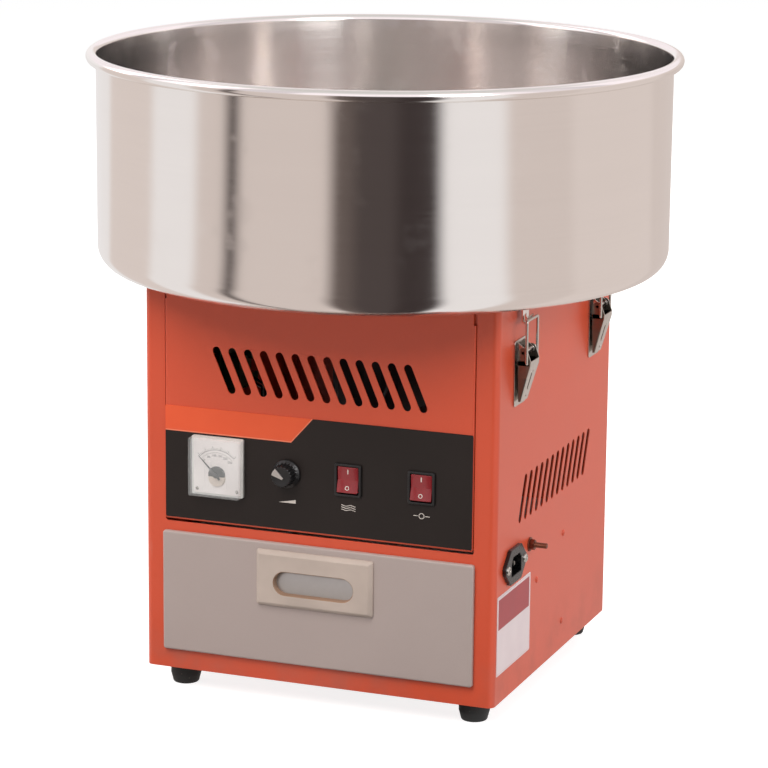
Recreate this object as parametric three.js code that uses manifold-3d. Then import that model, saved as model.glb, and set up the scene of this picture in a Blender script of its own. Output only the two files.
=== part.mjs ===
// Electric countertop cotton candy machine: a sheet steel housing on four rubber feet, with a control
// panel and a crumb drawer in front, a heated head on a motor shaft, and a loose stainless bowl that
// four draw latches hold on the housing.
// Millimetres, +Z up. The front faces -Y. The origin is on the floor, under the axis of bowl and motor.
import * as THREE from 'three';
import { mergeVertices } from 'three/addons/utils/BufferGeometryUtils.js';
import Module from 'manifold-3d';

const wasm = await Module();
wasm.setup();

// Gaps: between faces that rest on each other, between parts that slide, and round what goes through
const TOUCH = 0.05;
const FIT = 0.4;
const HOLE_GAP = 0.4;

// Housing
const HOUSING_WIDTH = 323.5;
const HOUSING_DEPTH = 312;
const HOUSING_HEIGHT = 344;
const HOUSING_SETBACK = 5;
const SHELL_SHEET = 1.5;
const COVER_SHEET = 1.2;
const BEND_RADIUS = 6;
const COVER_FLANGE = 14;
const COVER_MARGIN = 1;
const COVER_SCREW_END = 26;
const TRAY_FLANGE = 12;

// Feet
const FOOT_HEIGHT = 20;
const FOOT_RADIUS = 13.5;
const FOOT_TIP_RADIUS = 11.2;
const FOOT_RECESS_RADIUS = 5;
const FOOT_WEB = 7;
const FOOT_INSET_SIDE = 26;
const FOOT_INSET_FRONT = 27;
const FOOT_INSET_REAR = 17;

// Screws, weld nuts and blind rivets
const SCREW_RADIUS = 2;
const SCREW_HEAD_RADIUS = 3.8;
const SCREW_HEAD_HEIGHT = 2.2;
const SCREW_LENGTH = 8;
const WELD_NUT_RADIUS = 4.6;
const WELD_NUT_HEIGHT = 4;
const RIVET_RADIUS = 1.6;
const RIVET_HEAD_RADIUS = 3;
const RIVET_HEAD_HEIGHT = 1.3;

// Bowl
const BOWL_RADIUS = 260;
const BOWL_HEIGHT = 188;
const BOWL_SHEET = 1.2;
const BOWL_CORNER = 18;
const BOWL_HOLE_RADIUS = 92;
const BOWL_COLLAR = 10;
const RIM_RADIUS = 3.9;
const RIM_FLARE = 3.2;
const GASKET_HEIGHT = 3.5;
const GASKET_WIDTH = 9;
const GASKET_RADIUS = 128;

// Drawer and its runners
const DRAWER_WIDTH = 287.4;
const DRAWER_HEIGHT = 107.8;
const DRAWER_BOTTOM = 17.8;
const DRAWER_PROUD = 4.4;
const DRAWER_LAP = 6.5;
const DRAWER_SHEET = 1.2;
const DRAWER_LENGTH = 262;
const DRAWER_MOUTH_GAP = 1.5;
const RUNNER_SHEET = 1.2;
const RUNNER_LENGTH = 284;
const RUNNER_SHELF = 10;
const RUNNER_WALL = 16;
const RUNNER_GUIDE = 8;
const RISER_FRONT = -62;
const RISER_BACK = 44;
const RISER_HEIGHT = 100;
const RISER_RIVET_Y = 29;
const RISER_RIVET_INSET = 5;
const MIDDLE_RIVET_Y = -44;
const MIDDLE_RIVET_Z = 84;

// Drawer pull: a bevelled plate with a cup behind it
const PULL_WIDTH = 108;
const PULL_HEIGHT = 50;
const PULL_THICKNESS = 5;
const PULL_BEVEL = 3.5;
const PULL_Z = 94.5;
const CUP_LENGTH = 73;
const CUP_HEIGHT = 20;
const CUP_DEPTH = 14;
const CUP_WALL = 1.6;
const CUP_DROP = 3;

// Front panel and its black overlay
const PANEL_WIDTH = 283.2;
const PANEL_BOTTOM = 136.4;
const PANEL_PROUD = 1.7;
const PANEL_SHEET = 1.2;
const PANEL_FLANGE = 10;
const PANEL_SIDE_GAP = 0.6;
const PANEL_SHADOW_GAP = 2.6;
const PANEL_LUG_X = 100;
const PANEL_LUG_WIDTH = 16;
const OVERLAY_HEIGHT = 99.6;
const OVERLAY_MARGIN = 0.4;
const OVERLAY_RISE = 1.9;
const OVERLAY_SHEET = 0.6;
const CONTROL_Z = 188;

// Vent slots
const SLOT_COUNT = 13;
const SLOT_PITCH = 14.6;
const SLOT_WIDTH = 6;
const SLOT_HEIGHT = 39.6;
const SLOT_LEAN = 14.2;
const SLOT_SHIFT = 1.5;
const FRONT_SLOT_Z = 273;
const SIDE_SLOT_Z = 168;
const REAR_SLOT_Z = 240;
const PAN_SLOT_COUNT = 7;

// Voltmeter
const METER_X = -91;
const METER_WIDTH = 48;
const METER_HEIGHT = 52;
const METER_FLANGE = 3;
const METER_COVER_DEPTH = 9;
const METER_WALL = 1.6;
const METER_BODY_RADIUS = 22;
const METER_BODY_DEPTH = 26;
const METER_STUD_SPACING = 20;
const METER_STUD_RADIUS = 2;
const METER_STUD_LENGTH = 8;
const DIAL_WIDTH = 43;
const DIAL_HEIGHT = 46;
const DIAL_SHEET = 0.5;
const MOVEMENT_DROP = 7;
const MOVEMENT_RADIUS = 8;
const MOVEMENT_HEIGHT = 2;
const NEEDLE_LENGTH = 23;
const NEEDLE_TAIL = 5;
const NEEDLE_WIDTH = 2;
const NEEDLE_SHEET = 0.8;
const NEEDLE_HUB_RADIUS = 2.4;
const NEEDLE_REST = Math.PI / 4;

// Heat regulator and its knob
const KNOB_X = -27;
const KNOB_RADIUS = 9.5;
const KNOB_SKIRT_RADIUS = 12.5;
const KNOB_SKIRT_HEIGHT = 3.5;
const KNOB_HEIGHT = 14;
const KNOB_POINTER_WIDTH = 2;
const KNOB_POINTER_HEIGHT = 1.2;
const KNOB_REST = Math.PI / 3;
const REGULATOR_RADIUS = 13;
const REGULATOR_DEPTH = 18;
const BUSH_RADIUS = 4.8;
const BUSH_NUT_RADIUS = 7;
const BUSH_NUT_HEIGHT = 2.4;
const SPINDLE_RADIUS = 3;
const SPINDLE_LENGTH = 11;

// Rocker switches
const HEAT_SWITCH_X = 29.5;
const MOTOR_SWITCH_X = 96;
const BEZEL_WIDTH = 24.5;
const BEZEL_HEIGHT = 28.5;
const BEZEL_DEPTH = 2.4;
const BEZEL_LAP = 1.2;
const SWITCH_DEPTH = 21;
const ROCKER_WIDTH = 19;
const ROCKER_HEIGHT = 22.4;
const ROCKER_RISE = 5.4;
const ROCKER_VALLEY = 3.6;
const ROCKER_DEPTH = 4.5;
const ROCKER_SINK = 2.2;
const ROCKER_END_GAP = 1;
const ROCKER_FLOOR_GAP = 2;
const ROCKER_PIN_RADIUS = 1.5;
const ROCKER_TILT = 7 * Math.PI / 180;
const TAB_WIDTH = 6.3;
const TAB_SHEET = 0.8;
const TAB_LENGTH = 7;
const TAB_SPACING_X = 10;
const TAB_SPACING_Z = 12;

// Mains inlet and earth stud on the right side
const INLET_Y = -110;
const INLET_Z = 116;
const INLET_SIZE = 31;
const INLET_EAR_SPACING = 44;
const INLET_EAR_RADIUS = 5.6;
const INLET_FLANGE = 3.4;
const INLET_DEPTH = 19;
const SOCKET_WIDTH = 24.4;
const SOCKET_HEIGHT = 16.4;
const SOCKET_DEPTH = 15;
const SOCKET_WALL = 1.6;
const PIN_SPACING = 14;
const PIN_WIDTH = 2;
const PIN_HEIGHT = 4;
const PIN_SINK = 4;
const EARTH_Y = -66;
const EARTH_Z = 122;
const EARTH_RADIUS = 2.5;
const EARTH_LENGTH = 16;
const EARTH_NUT_RADIUS = 4.8;
const EARTH_NUT_HEIGHT = 4;

// Draw latches, two on each side
const LATCH_SPACING = 206;
const LATCH_SHEET = 1.2;
const LATCH_WIDTH = 30;
const LATCH_BASE_LOW = 255;
const LATCH_BASE_HIGH = 312;
const LATCH_RIVET_ZS = [269, 286];
const LATCH_PIN_Z = 302;
const LATCH_PIN_OUT = 7;
const LATCH_PIN_RADIUS = 1.6;
const EAR_SPACING = 18;
const EAR_RADIUS = 3.2;
const EAR_ROOT = 9;
const LEVER_WIDTH = 23.2;
const LEVER_TIP_WIDTH = 18;
const LEVER_TIP_OUT = 5.4;
const LEVER_TIP_THICKNESS = 2.8;
const LEVER_TIP_HEIGHT = 5;
const LEVER_LENGTH = 43;
const LEVER_END_RADIUS = 4.4;
const LEVER_EDGE = 2;
const LOOP_PIVOT_OUT = 11;
const LOOP_PIVOT_DROP = 9;
const LOOP_RADIUS = 1.3;
const LOOP_HEIGHT = 37;
const KEEPER_WIDTH = 16;
const KEEPER_LIP = 5;
const KEEPER_HOOK = 4;
const KEEPER_FOOT = 12;

// Motor, its bracket and its slip rings
const MOTOR_RADIUS = 44;
const MOTOR_HEIGHT = 104;
const SHAFT_RADIUS = 4;
const SHAFT_GAP = 0.2;
const SHAFT_HOLE_RADIUS = 30;
const BRACKET_SHEET = 2.5;
const BRACKET_DROP = 30;
const BRACKET_WIDTH = 138;
const BRACKET_DEPTH = 84;
const BRACKET_FLANGE = 20;
const PAD_HEIGHT = 5;
const PAD_MARGIN = 2;
const STAY_SPACING = 56;
const STAY_RADIUS = 2.5;
const STAY_NUT_RADIUS = 4.6;
const STAY_NUT_HEIGHT = 4;
const FAN_RADIUS = 36;
const FAN_HUB_RADIUS = 9;
const FAN_HEIGHT = 12;
const FAN_BLADES = 6;
const FAN_SHEET = 1.4;
const HUB_LIFT = 3;
const HUB_FLANGE = 4.2;
const HUB_RADIUS = 15;
const HUB_FLANGE_RADIUS = 21;
const RING_RADIUS = 19;
const RING_HEIGHT = 6;
const BRUSH_WIDTH = 6;
const BRUSH_HEIGHT = 5;
const BRUSH_LENGTH = 5.5;
const ARM_SHEET = 0.6;
const ARM_LENGTH = 23;
const HOLDER_SIZE = 12;

// Spinning head
const HEAD_RADIUS = 74;
const HEAD_RISE = 22;
const HEAD_SHEET = 3;
const HEAD_LIP = 4;
const HEAD_HUB_RADIUS = 12;
const HEAD_HUB_LENGTH = 16;
const HEAD_NUT_RADIUS = 7.2;
const HEAD_NUT_HEIGHT = 4.4;
const HEATER_RADIUS = 50;
const HEATER_WALL = 6;
const HEATER_HEIGHT = 22;
const BAND_INSET = 2;
const BAND_HEIGHT = 27;
const BAND_WALL = 1.6;
const BAND_WINDOWS = 14;
const BAND_WINDOW_WIDTH = 12;
const BAND_FRAME = 4;
const COVER_WALL = 1.8;
const SUGAR_HOLE_RADIUS = 21;
const CONE_RADIUS = 56;
const CONE_HEIGHT = 18;
const NECK_HEIGHT = 7;
const STUD_COUNT = 3;
const STUD_CIRCLE = 62;
const STUD_RADIUS = 2.5;
const STUD_NUT_RADIUS = 5;
const STUD_NUT_HEIGHT = 9;

// Control board and wires
const BOARD_WIDTH = 70;
const BOARD_HEIGHT = 50;
const BOARD_SHEET = 1.6;
const BOARD_STAND = 8;
const BOARD_STAND_RADIUS = 2.5;
const BOARD_Y = 15;
const BOARD_Z = 235;
const COMPONENT_MARGIN = 6;
const TERMINAL_DEPTH = 11;
const TERMINAL_WIDTH = 28;
const TERMINAL_SIZE = 10;
const SINK_DEPTH = 17;
const SINK_WIDTH = 18;
const SINK_HEIGHT = 28;
const CHOKE_RADIUS = 7;
const CHOKE_HEIGHT = 12;
const WIRE_RADIUS = 1.6;
const TIE_SIZE = 9;
const LOOM_DEPTH = 56;
const LOOM_STEP = 10;
const LOOM_RISE = 60;
const LOOM_MARGIN = 30;
const INLET_RUN = 40;
const BRUSH_RUN_MARGIN = 15;
const WIRE_SPREAD = 5;

// Places that follow from them
const HALF_WIDTH = HOUSING_WIDTH / 2;
const FRONT = -HOUSING_DEPTH / 2;
const BACK = HOUSING_DEPTH / 2 - COVER_SHEET - TOUCH;
const BOTTOM = FOOT_HEIGHT + TOUCH;
const TOP = BOTTOM + HOUSING_HEIGHT;
const WALL_INSIDE = HALF_WIDTH - SHELL_SHEET;
const PANEL_FRONT = FRONT - PANEL_PROUD;
const PANEL_BACK = PANEL_FRONT + PANEL_SHEET;
const PANEL_LOW = BOTTOM + PANEL_BOTTOM;
const PANEL_HALF = PANEL_WIDTH / 2;
const OVERLAY_FRONT = PANEL_FRONT - TOUCH - OVERLAY_SHEET;
const CONTROL_HEIGHT = BOTTOM + CONTROL_Z;
const DRAWER_LOW = BOTTOM + DRAWER_BOTTOM;
const DRAWER_HIGH = DRAWER_LOW + DRAWER_HEIGHT;
const MOUTH_HALF = DRAWER_WIDTH / 2 - DRAWER_LAP;
const MOUTH_LOW = DRAWER_LOW + DRAWER_LAP;
const MOUTH_HIGH = DRAWER_HIGH - DRAWER_LAP;
const BOX_HALF = MOUTH_HALF - DRAWER_MOUTH_GAP;
const BOX_LOW = MOUTH_LOW + DRAWER_MOUTH_GAP;
const BOX_HIGH = MOUTH_HIGH - 2 * DRAWER_MOUTH_GAP;
const INLET_HEIGHT = BOTTOM + INLET_Z;
const INLET_HALF_WIDTH = SOCKET_WIDTH / 2 + SOCKET_WALL;
const INLET_HALF_HEIGHT = SOCKET_HEIGHT / 2 + SOCKET_WALL;
const EARTH_HEIGHT = BOTTOM + EARTH_Z;
const BOWL_Z = TOP + GASKET_HEIGHT + 2 * TOUCH;
const FLANGE_TOP = TOP - SHELL_SHEET - PAD_HEIGHT - 2 * TOUCH;
const PLATE_TOP = FLANGE_TOP - BRACKET_DROP;
const MOTOR_TOP = PLATE_TOP - BRACKET_SHEET - TOUCH;
const MOTOR_BOTTOM = MOTOR_TOP - MOTOR_HEIGHT;
const HUB_BOTTOM = PLATE_TOP + HUB_LIFT;
const HUB_GROOVE = RING_HEIGHT + 2 * TOUCH;
const HUB_TOP = HUB_BOTTOM + 3 * HUB_FLANGE + 2 * HUB_GROOVE;
const HEAD_Z = TOP + HEAD_RISE;
const HEAD_FLOOR = HEAD_Z + HEAD_SHEET;
const COVER_Z = HEAD_FLOOR + BAND_HEIGHT + 2 * TOUCH;
const SHAFT_BORE = SHAFT_RADIUS + SHAFT_GAP;
const RIVET_HOLE = RIVET_RADIUS + HOLE_GAP;
const SCREW_HOLE = SCREW_RADIUS + HOLE_GAP;
const BOTH = [-1, 1];

// Outlines, drawn across and up
function rectangle(left, low, right, high) {
  return polygon([[left, low], [right, low], [right, high], [left, high]]);
}

function polygon(points) {
  return new THREE.Shape(points.map(([x, y]) => new THREE.Vector2(x, y)));
}

function disc(radius, x = 0, y = 0) {
  return new THREE.Shape().absarc(x, y, radius, 0, 2 * Math.PI);
}

// A slot with round ends between two points
function slot(ax, ay, bx, by, radius) {
  const along = Math.atan2(by - ay, bx - ax);
  const shape = new THREE.Shape();
  shape.absarc(bx, by, radius, along - Math.PI / 2, along + Math.PI / 2);
  shape.absarc(ax, ay, radius, along + Math.PI / 2, along + 1.5 * Math.PI);
  shape.closePath();
  return shape;
}

// A row of leaning slots; a positive lean moves their upper ends to the right
function slotRow(count, lean, middle, height) {
  const reach = (SLOT_HEIGHT - SLOT_WIDTH) / 2;
  const shapes = [];
  for (let i = 0; i < count; i += 1) {
    const x = middle + (i - (count - 1) / 2) * SLOT_PITCH;
    shapes.push(slot(x - lean / 2, height - reach, x + lean / 2, height + reach, SLOT_WIDTH / 2));
  }
  return shapes;
}

// Extrusions of outlines: up Z, to the right along X, and from front to back along Y
function alongZ(shape, low, high, curveSegments = 3) {
  const geometry = new THREE.ExtrudeGeometry(shape, { depth: high - low, bevelEnabled: false, curveSegments });
  return geometry.translate(0, 0, low);
}

function alongX(shape, left, right, curveSegments = 3) {
  const turn = new THREE.Matrix4().makeBasis(
    new THREE.Vector3(0, 1, 0), new THREE.Vector3(0, 0, 1), new THREE.Vector3(1, 0, 0));
  return alongZ(shape, left, right, curveSegments).applyMatrix4(turn);
}

function alongY(shape, front, back, curveSegments = 3) {
  return alongZ(shape, -back, -front, curveSegments).rotateX(Math.PI / 2);
}

function block(x0, x1, y0, y1, z0, z1) {
  const geometry = new THREE.BoxGeometry(x1 - x0, y1 - y0, z1 - z0);
  return geometry.translate((x0 + x1) / 2, (y0 + y1) / 2, (z0 + z1) / 2);
}

// A body turned about Z from a profile of radius and height pairs
function turned(profile, segments = 24) {
  const points = profile.map(([radius, height]) => new THREE.Vector2(radius, height));
  return new THREE.LatheGeometry(points, segments).rotateX(Math.PI / 2);
}

function rod(radius, low, high, segments = 12) {
  return turned([[0, low], [radius, low], [radius, high], [0, high]], segments);
}

function ring(inner, outer, low, high, segments = 24) {
  return turned([[inner, low], [outer, low], [outer, high], [inner, high], [inner, low]], segments);
}

// A closed solid from a geometry: shared corners merged, slivers dropped, faces outwards
function solid(geometry) {
  const bare = geometry.index ? geometry.toNonIndexed() : geometry.clone();
  bare.deleteAttribute('normal');
  bare.deleteAttribute('uv');
  const merged = mergeVertices(bare, 1e-4);
  const corners = merged.attributes.position;
  const faces = [];
  let volume = 0;
  const [a, b, c] = [new THREE.Vector3(), new THREE.Vector3(), new THREE.Vector3()];
  for (let i = 0; i < merged.index.count; i += 3) {
    const face = [merged.index.getX(i), merged.index.getX(i + 1), merged.index.getX(i + 2)];
    if (face[0] !== face[1] && face[1] !== face[2] && face[2] !== face[0]) {
      faces.push(face);
      a.fromBufferAttribute(corners, face[0]);
      b.fromBufferAttribute(corners, face[1]);
      c.fromBufferAttribute(corners, face[2]);
      volume += a.dot(b.cross(c)) / 6;
    }
  }
  const order = volume < 0 ? ([p, q, r]) => [p, r, q] : (face) => face;
  return new wasm.Manifold(new wasm.Mesh({
    numProp: 3,
    vertProperties: new Float32Array(corners.array),
    triVerts: new Uint32Array(faces.flatMap(order)),
  }));
}

function geometryOf(shape) {
  const mesh = shape.getMesh();
  const geometry = new THREE.BufferGeometry();
  geometry.setAttribute('position', new THREE.BufferAttribute(mesh.vertProperties, 3));
  geometry.setIndex(new THREE.BufferAttribute(mesh.triVerts, 1));
  return geometry;
}

const solidOf = (shape) => (shape.isBufferGeometry ? solid(shape) : shape);

function join(...shapes) {
  return shapes.map(solidOf).reduce((sum, shape) => sum.add(shape));
}

function cut(shape, ...tools) {
  return tools.map(solidOf).reduce((rest, tool) => rest.subtract(tool), solidOf(shape));
}

// The same solid on the other side of the middle plane x = 0
function mirrored(shape) {
  return solid(geometryOf(shape).scale(-1, 1, 1));
}

// A mesh of one sub-part, in a finish of colour, roughness and metalness
function part(name, shape, [colour, roughness, metalness]) {
  const geometry = geometryOf(solidOf(shape));
  geometry.computeVertexNormals();
  const finish = new THREE.MeshStandardMaterial({ color: colour, roughness, metalness });
  const made = new THREE.Mesh(geometry, finish);
  made.name = name;
  return made;
}

function group(parent, x, y, z) {
  const made = new THREE.Group();
  made.position.set(x, y, z);
  parent.add(made);
  return made;
}

// Finishes
const ORANGE = [0xcf5a3c, 0.45, 0];
const GREY_PAINT = [0xb5a39b, 0.5, 0];
const IVORY = [0xbfae9f, 0.45, 0];
const BLACK_PLASTIC = [0x1d1c1b, 0.45, 0];
const BLACK_GLOSS = [0x2b2524, 0.3, 0];
const RUBBER = [0x151515, 0.8, 0];
const STAINLESS = [0xcfc6be, 0.25, 1];
const ZINC = [0xb9b6b0, 0.35, 1];
const STEEL = [0x8e8c88, 0.35, 1];
const ALUMINIUM = [0xc4c2be, 0.4, 1];
const BRASS = [0xb08d4c, 0.35, 1];
const CARBON = [0x26262a, 0.7, 0];
const RED_CLEAR = [0xb8262b, 0.25, 0];
const CLEAR = [0xe9eef0, 0.08, 0];
const WHITE = [0xe8e6e4, 0.5, 0];
const DARK_PAINT = [0x34373a, 0.5, 0];
const GREEN_BOARD = [0x2c6a3c, 0.5, 0];
const BROWN_RESIN = [0x5a3622, 0.5, 0];

// The housing's pieces are drawn round its own middle, the drive's round the axis of the bowl.
const machine = new THREE.Group();
machine.name = 'floss_machine';
const housing = group(machine, 0, HOUSING_SETBACK, 0);
const AXIS_Y = -HOUSING_SETBACK;

// A pan head screw along Z: its head stands on the plane z = 0 and its shank goes down.
function panScrew(length) {
  return turned([
    [0, SCREW_HEAD_HEIGHT], [SCREW_HEAD_RADIUS * 0.7, SCREW_HEAD_HEIGHT], [SCREW_HEAD_RADIUS, 0],
    [SCREW_RADIUS, 0], [SCREW_RADIUS, -length], [0, -length],
  ], 6);
}

// A blind rivet along X: its head stands on x = 0 and its tail is behind the sheets that it grips.
function rivet(grip) {
  const tail = -grip - TOUCH;
  return turned([
    [0, RIVET_HEAD_HEIGHT], [RIVET_HEAD_RADIUS * 0.7, RIVET_HEAD_HEIGHT], [RIVET_HEAD_RADIUS, TOUCH],
    [RIVET_RADIUS, TOUCH], [RIVET_RADIUS, tail], [RIVET_RADIUS * 1.5, tail], [0, tail - 1],
  ], 6).rotateY(Math.PI / 2);
}

const LATCH_YS = [-LATCH_SPACING / 2, LATCH_SPACING / 2];
const RISER_LOW = BOTTOM + TRAY_FLANGE + FIT;
const RUNNER_RIVETS = [
  [RISER_RIVET_Y, BOX_LOW],
  [RISER_RIVET_Y, RISER_LOW + RISER_HEIGHT - RISER_RIVET_INSET],
  [MIDDLE_RIVET_Y, BOTTOM + MIDDLE_RIVET_Z],
];
const COVER_SCREW_ZS = [BOTTOM + COVER_SCREW_END, (BOTTOM + TOP) / 2, TOP - COVER_SCREW_END];
const COVER_SCREW_X = HALF_WIDTH - COVER_FLANGE / 2;
const COVER_SCREW_PLACES = BOTH.flatMap((side) => COVER_SCREW_ZS.map((z) => [side * COVER_SCREW_X, z]));

// Housing shell: both sides and the front frame bent from one sheet, with flanges at the back

function shellOutline() {
  const bend = BEND_RADIUS;
  const inner = BEND_RADIUS - SHELL_SHEET;
  const edge = HALF_WIDTH - COVER_FLANGE;
  const shape = new THREE.Shape();
  shape.moveTo(-edge, BACK);
  shape.lineTo(-HALF_WIDTH, BACK);
  shape.absarc(-HALF_WIDTH + bend, FRONT + bend, bend, Math.PI, 1.5 * Math.PI);
  shape.absarc(HALF_WIDTH - bend, FRONT + bend, bend, -Math.PI / 2, 0);
  shape.lineTo(HALF_WIDTH, BACK);
  shape.lineTo(edge, BACK);
  shape.lineTo(edge, BACK - SHELL_SHEET);
  shape.lineTo(WALL_INSIDE, BACK - SHELL_SHEET);
  shape.absarc(HALF_WIDTH - bend, FRONT + bend, inner, 0, -Math.PI / 2, true);
  shape.absarc(-HALF_WIDTH + bend, FRONT + bend, inner, -Math.PI / 2, -Math.PI, true);
  shape.lineTo(-WALL_INSIDE, BACK - SHELL_SHEET);
  shape.lineTo(-edge, BACK - SHELL_SHEET);
  shape.closePath();
  return shape;
}

function shellHoles() {
  const past = HALF_WIDTH + 1;
  const inside = WALL_INSIDE - 1;
  const behind = FRONT + SHELL_SHEET + 1;
  const mouth = block(-MOUTH_HALF, MOUTH_HALF, FRONT - 1, behind, MOUTH_LOW, MOUTH_HIGH);
  const half = PANEL_HALF + PANEL_SIDE_GAP;
  const window = block(-half, half, FRONT - 1, behind, PANEL_LOW - PANEL_SHADOW_GAP, TOP + 1);
  const vents = slotRow(SLOT_COUNT, SLOT_LEAN, SLOT_SHIFT, BOTTOM + SIDE_SLOT_Z);
  const [w, h] = [INLET_HALF_WIDTH + FIT, INLET_HALF_HEIGHT + FIT];
  const socket = block(inside, past, INLET_Y - w, INLET_Y + w, INLET_HEIGHT - h, INLET_HEIGHT + h);
  const latchRivets = LATCH_YS.flatMap((y) => LATCH_RIVET_ZS.map((z) => disc(RIVET_HOLE, y, BOTTOM + z)));
  const runnerRivets = RUNNER_RIVETS.map(([y, z]) => disc(RIVET_HOLE, y, z));
  const inletScrews = BOTH.map(
    (side) => disc(SCREW_HOLE, INLET_Y + side * INLET_EAR_SPACING / 2, INLET_HEIGHT));
  return [
    mouth, window, socket, alongX(vents, -past, past, 1),
    alongX([...latchRivets, ...runnerRivets], -past, past),
    alongX([...inletScrews, disc(EARTH_RADIUS + HOLE_GAP, EARTH_Y, EARTH_HEIGHT)], inside, past),
    alongY(COVER_SCREW_PLACES.map(([x, z]) => disc(SCREW_HOLE, x, z)), BACK - SHELL_SHEET - 1, BACK + 1),
  ];
}

housing.add(part('housing_shell', cut(alongZ(shellOutline(), BOTTOM, TOP, 2), ...shellHoles()), ORANGE));

// Top plate and base pan: trays whose flanges stand against the inside of the shell

function trayOutline(inset) {
  const radius = BEND_RADIUS - SHELL_SHEET - inset;
  const x = WALL_INSIDE - inset;
  const front = FRONT + BEND_RADIUS;
  const shape = new THREE.Shape();
  shape.moveTo(x, BACK - SHELL_SHEET - inset);
  shape.lineTo(-x, BACK - SHELL_SHEET - inset);
  shape.absarc(-HALF_WIDTH + BEND_RADIUS, front, radius, Math.PI, 1.5 * Math.PI);
  shape.absarc(HALF_WIDTH - BEND_RADIUS, front, radius, -Math.PI / 2, 0);
  shape.closePath();
  return shape;
}

function tray(low, high, hollowLow, hollowHigh) {
  return cut(
    alongZ(trayOutline(TOUCH), low, high, 2),
    alongZ(trayOutline(TOUCH + SHELL_SHEET), hollowLow, hollowHigh, 2));
}

// The bracket's stays are welded in the top plate and end in nuts under the bracket's flanges.
const STAY_PLACES = BOTH.flatMap((i) => BOTH.map((j) => [
  i * (BRACKET_WIDTH + BRACKET_FLANGE) / 2, j * STAY_SPACING / 2]));

function topPlate() {
  const nutTop = FLANGE_TOP - BRACKET_SHEET - TOUCH;
  const stay = [
    [0, TOP - SHELL_SHEET / 2], [STAY_RADIUS, TOP - SHELL_SHEET / 2], [STAY_RADIUS, nutTop],
    [STAY_NUT_RADIUS, nutTop], [STAY_NUT_RADIUS, nutTop - STAY_NUT_HEIGHT],
    [0, nutTop - STAY_NUT_HEIGHT],
  ];
  const stays = STAY_PLACES.map(([x, y]) => turned(stay, 6).translate(x, y + AXIS_Y, 0));
  const plate = cut(
    tray(TOP - TRAY_FLANGE, TOP, TOP - TRAY_FLANGE - 1, TOP - SHELL_SHEET),
    alongZ(disc(SHAFT_HOLE_RADIUS, 0, AXIS_Y), TOP - SHELL_SHEET - 1, TOP + 1, 12));
  return join(plate, ...stays);
}

housing.add(part('top_plate', topPlate(), ORANGE));

const FOOT_X = HALF_WIDTH - FOOT_INSET_SIDE;
const FOOT_PLACES = [
  ['foot_front_left', -FOOT_X, FRONT + FOOT_INSET_FRONT],
  ['foot_front_right', FOOT_X, FRONT + FOOT_INSET_FRONT],
  ['foot_rear_left', -FOOT_X, -FRONT - FOOT_INSET_REAR],
  ['foot_rear_right', FOOT_X, -FRONT - FOOT_INSET_REAR],
];

function basePan() {
  const plateTop = BOTTOM + SHELL_SHEET;
  const nuts = FOOT_PLACES.map(([, x, y]) => rod(WELD_NUT_RADIUS, plateTop - TOUCH,
    plateTop + WELD_NUT_HEIGHT, 6).translate(x, y, 0));
  const holes = FOOT_PLACES.map(([, x, y]) => disc(SCREW_HOLE, x, y));
  return cut(
    join(tray(BOTTOM, BOTTOM + TRAY_FLANGE, plateTop, BOTTOM + TRAY_FLANGE + 1), ...nuts),
    alongZ(holes, BOTTOM - 1, plateTop + WELD_NUT_HEIGHT + 1),
    alongZ(slotRow(PAN_SLOT_COUNT, 0, 0, 0), BOTTOM - 1, plateTop + 1, 1));
}

housing.add(part('base_pan', basePan(), ORANGE));

// Rear cover: a slotted sheet with its six screws, which go into the shell's flanges
function rearCover() {
  const x = HALF_WIDTH - COVER_MARGIN;
  const front = BACK + TOUCH;
  const back = front + COVER_SHEET;
  const sheet = cut(
    alongY(rectangle(-x, BOTTOM + COVER_MARGIN, x, TOP - COVER_MARGIN), front, back),
    alongY(slotRow(SLOT_COUNT, SLOT_LEAN, 0, BOTTOM + REAR_SLOT_Z), front - 1, back + 1, 1));
  const screws = COVER_SCREW_PLACES.map(
    ([sx, z]) => panScrew(SCREW_LENGTH).rotateX(-Math.PI / 2).translate(sx, back, z));
  return join(sheet, ...screws);
}

housing.add(part('rear_cover', rearCover(), ORANGE));

// Rubber feet, each with the screw that holds it in a weld nut of the base pan

function footBody() {
  const web = FOOT_HEIGHT - FOOT_WEB;
  const rubber = turned([
    [0, FOOT_HEIGHT], [FOOT_RADIUS, FOOT_HEIGHT], [FOOT_RADIUS, FOOT_HEIGHT * 0.4],
    [FOOT_TIP_RADIUS, 0], [FOOT_RECESS_RADIUS, 0], [FOOT_RECESS_RADIUS, web], [0, web],
  ], 12);
  const screw = panScrew(FOOT_WEB + SHELL_SHEET + WELD_NUT_HEIGHT);
  return join(rubber, screw.rotateX(Math.PI).translate(0, 0, web));
}

for (const [name, x, y] of FOOT_PLACES) {
  const foot = part(name, footBody(), RUBBER);
  foot.position.set(x, y, 0);
  housing.add(foot);
}

// Front panel: a shallow tray that stands a little proud of the frame, and the overlay on it

const SWITCH_XS = [HEAT_SWITCH_X, MOTOR_SWITCH_X];
const SWITCH_HALF_WIDTH = BEZEL_WIDTH / 2 - BEZEL_LAP;
const SWITCH_HALF_HEIGHT = BEZEL_HEIGHT / 2 - BEZEL_LAP;

function controlHoles(front, back) {
  const [w, h] = [SWITCH_HALF_WIDTH + HOLE_GAP, SWITCH_HALF_HEIGHT + HOLE_GAP];
  const openings = SWITCH_XS.map((x) => rectangle(x - w, CONTROL_HEIGHT - h, x + w, CONTROL_HEIGHT + h));
  return [
    alongY([...openings, disc(BUSH_RADIUS + HOLE_GAP, KNOB_X, CONTROL_HEIGHT)], front, back, 5),
    alongY(disc(METER_BODY_RADIUS + HOLE_GAP, METER_X, CONTROL_HEIGHT), front, back, 9),
  ];
}

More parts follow.
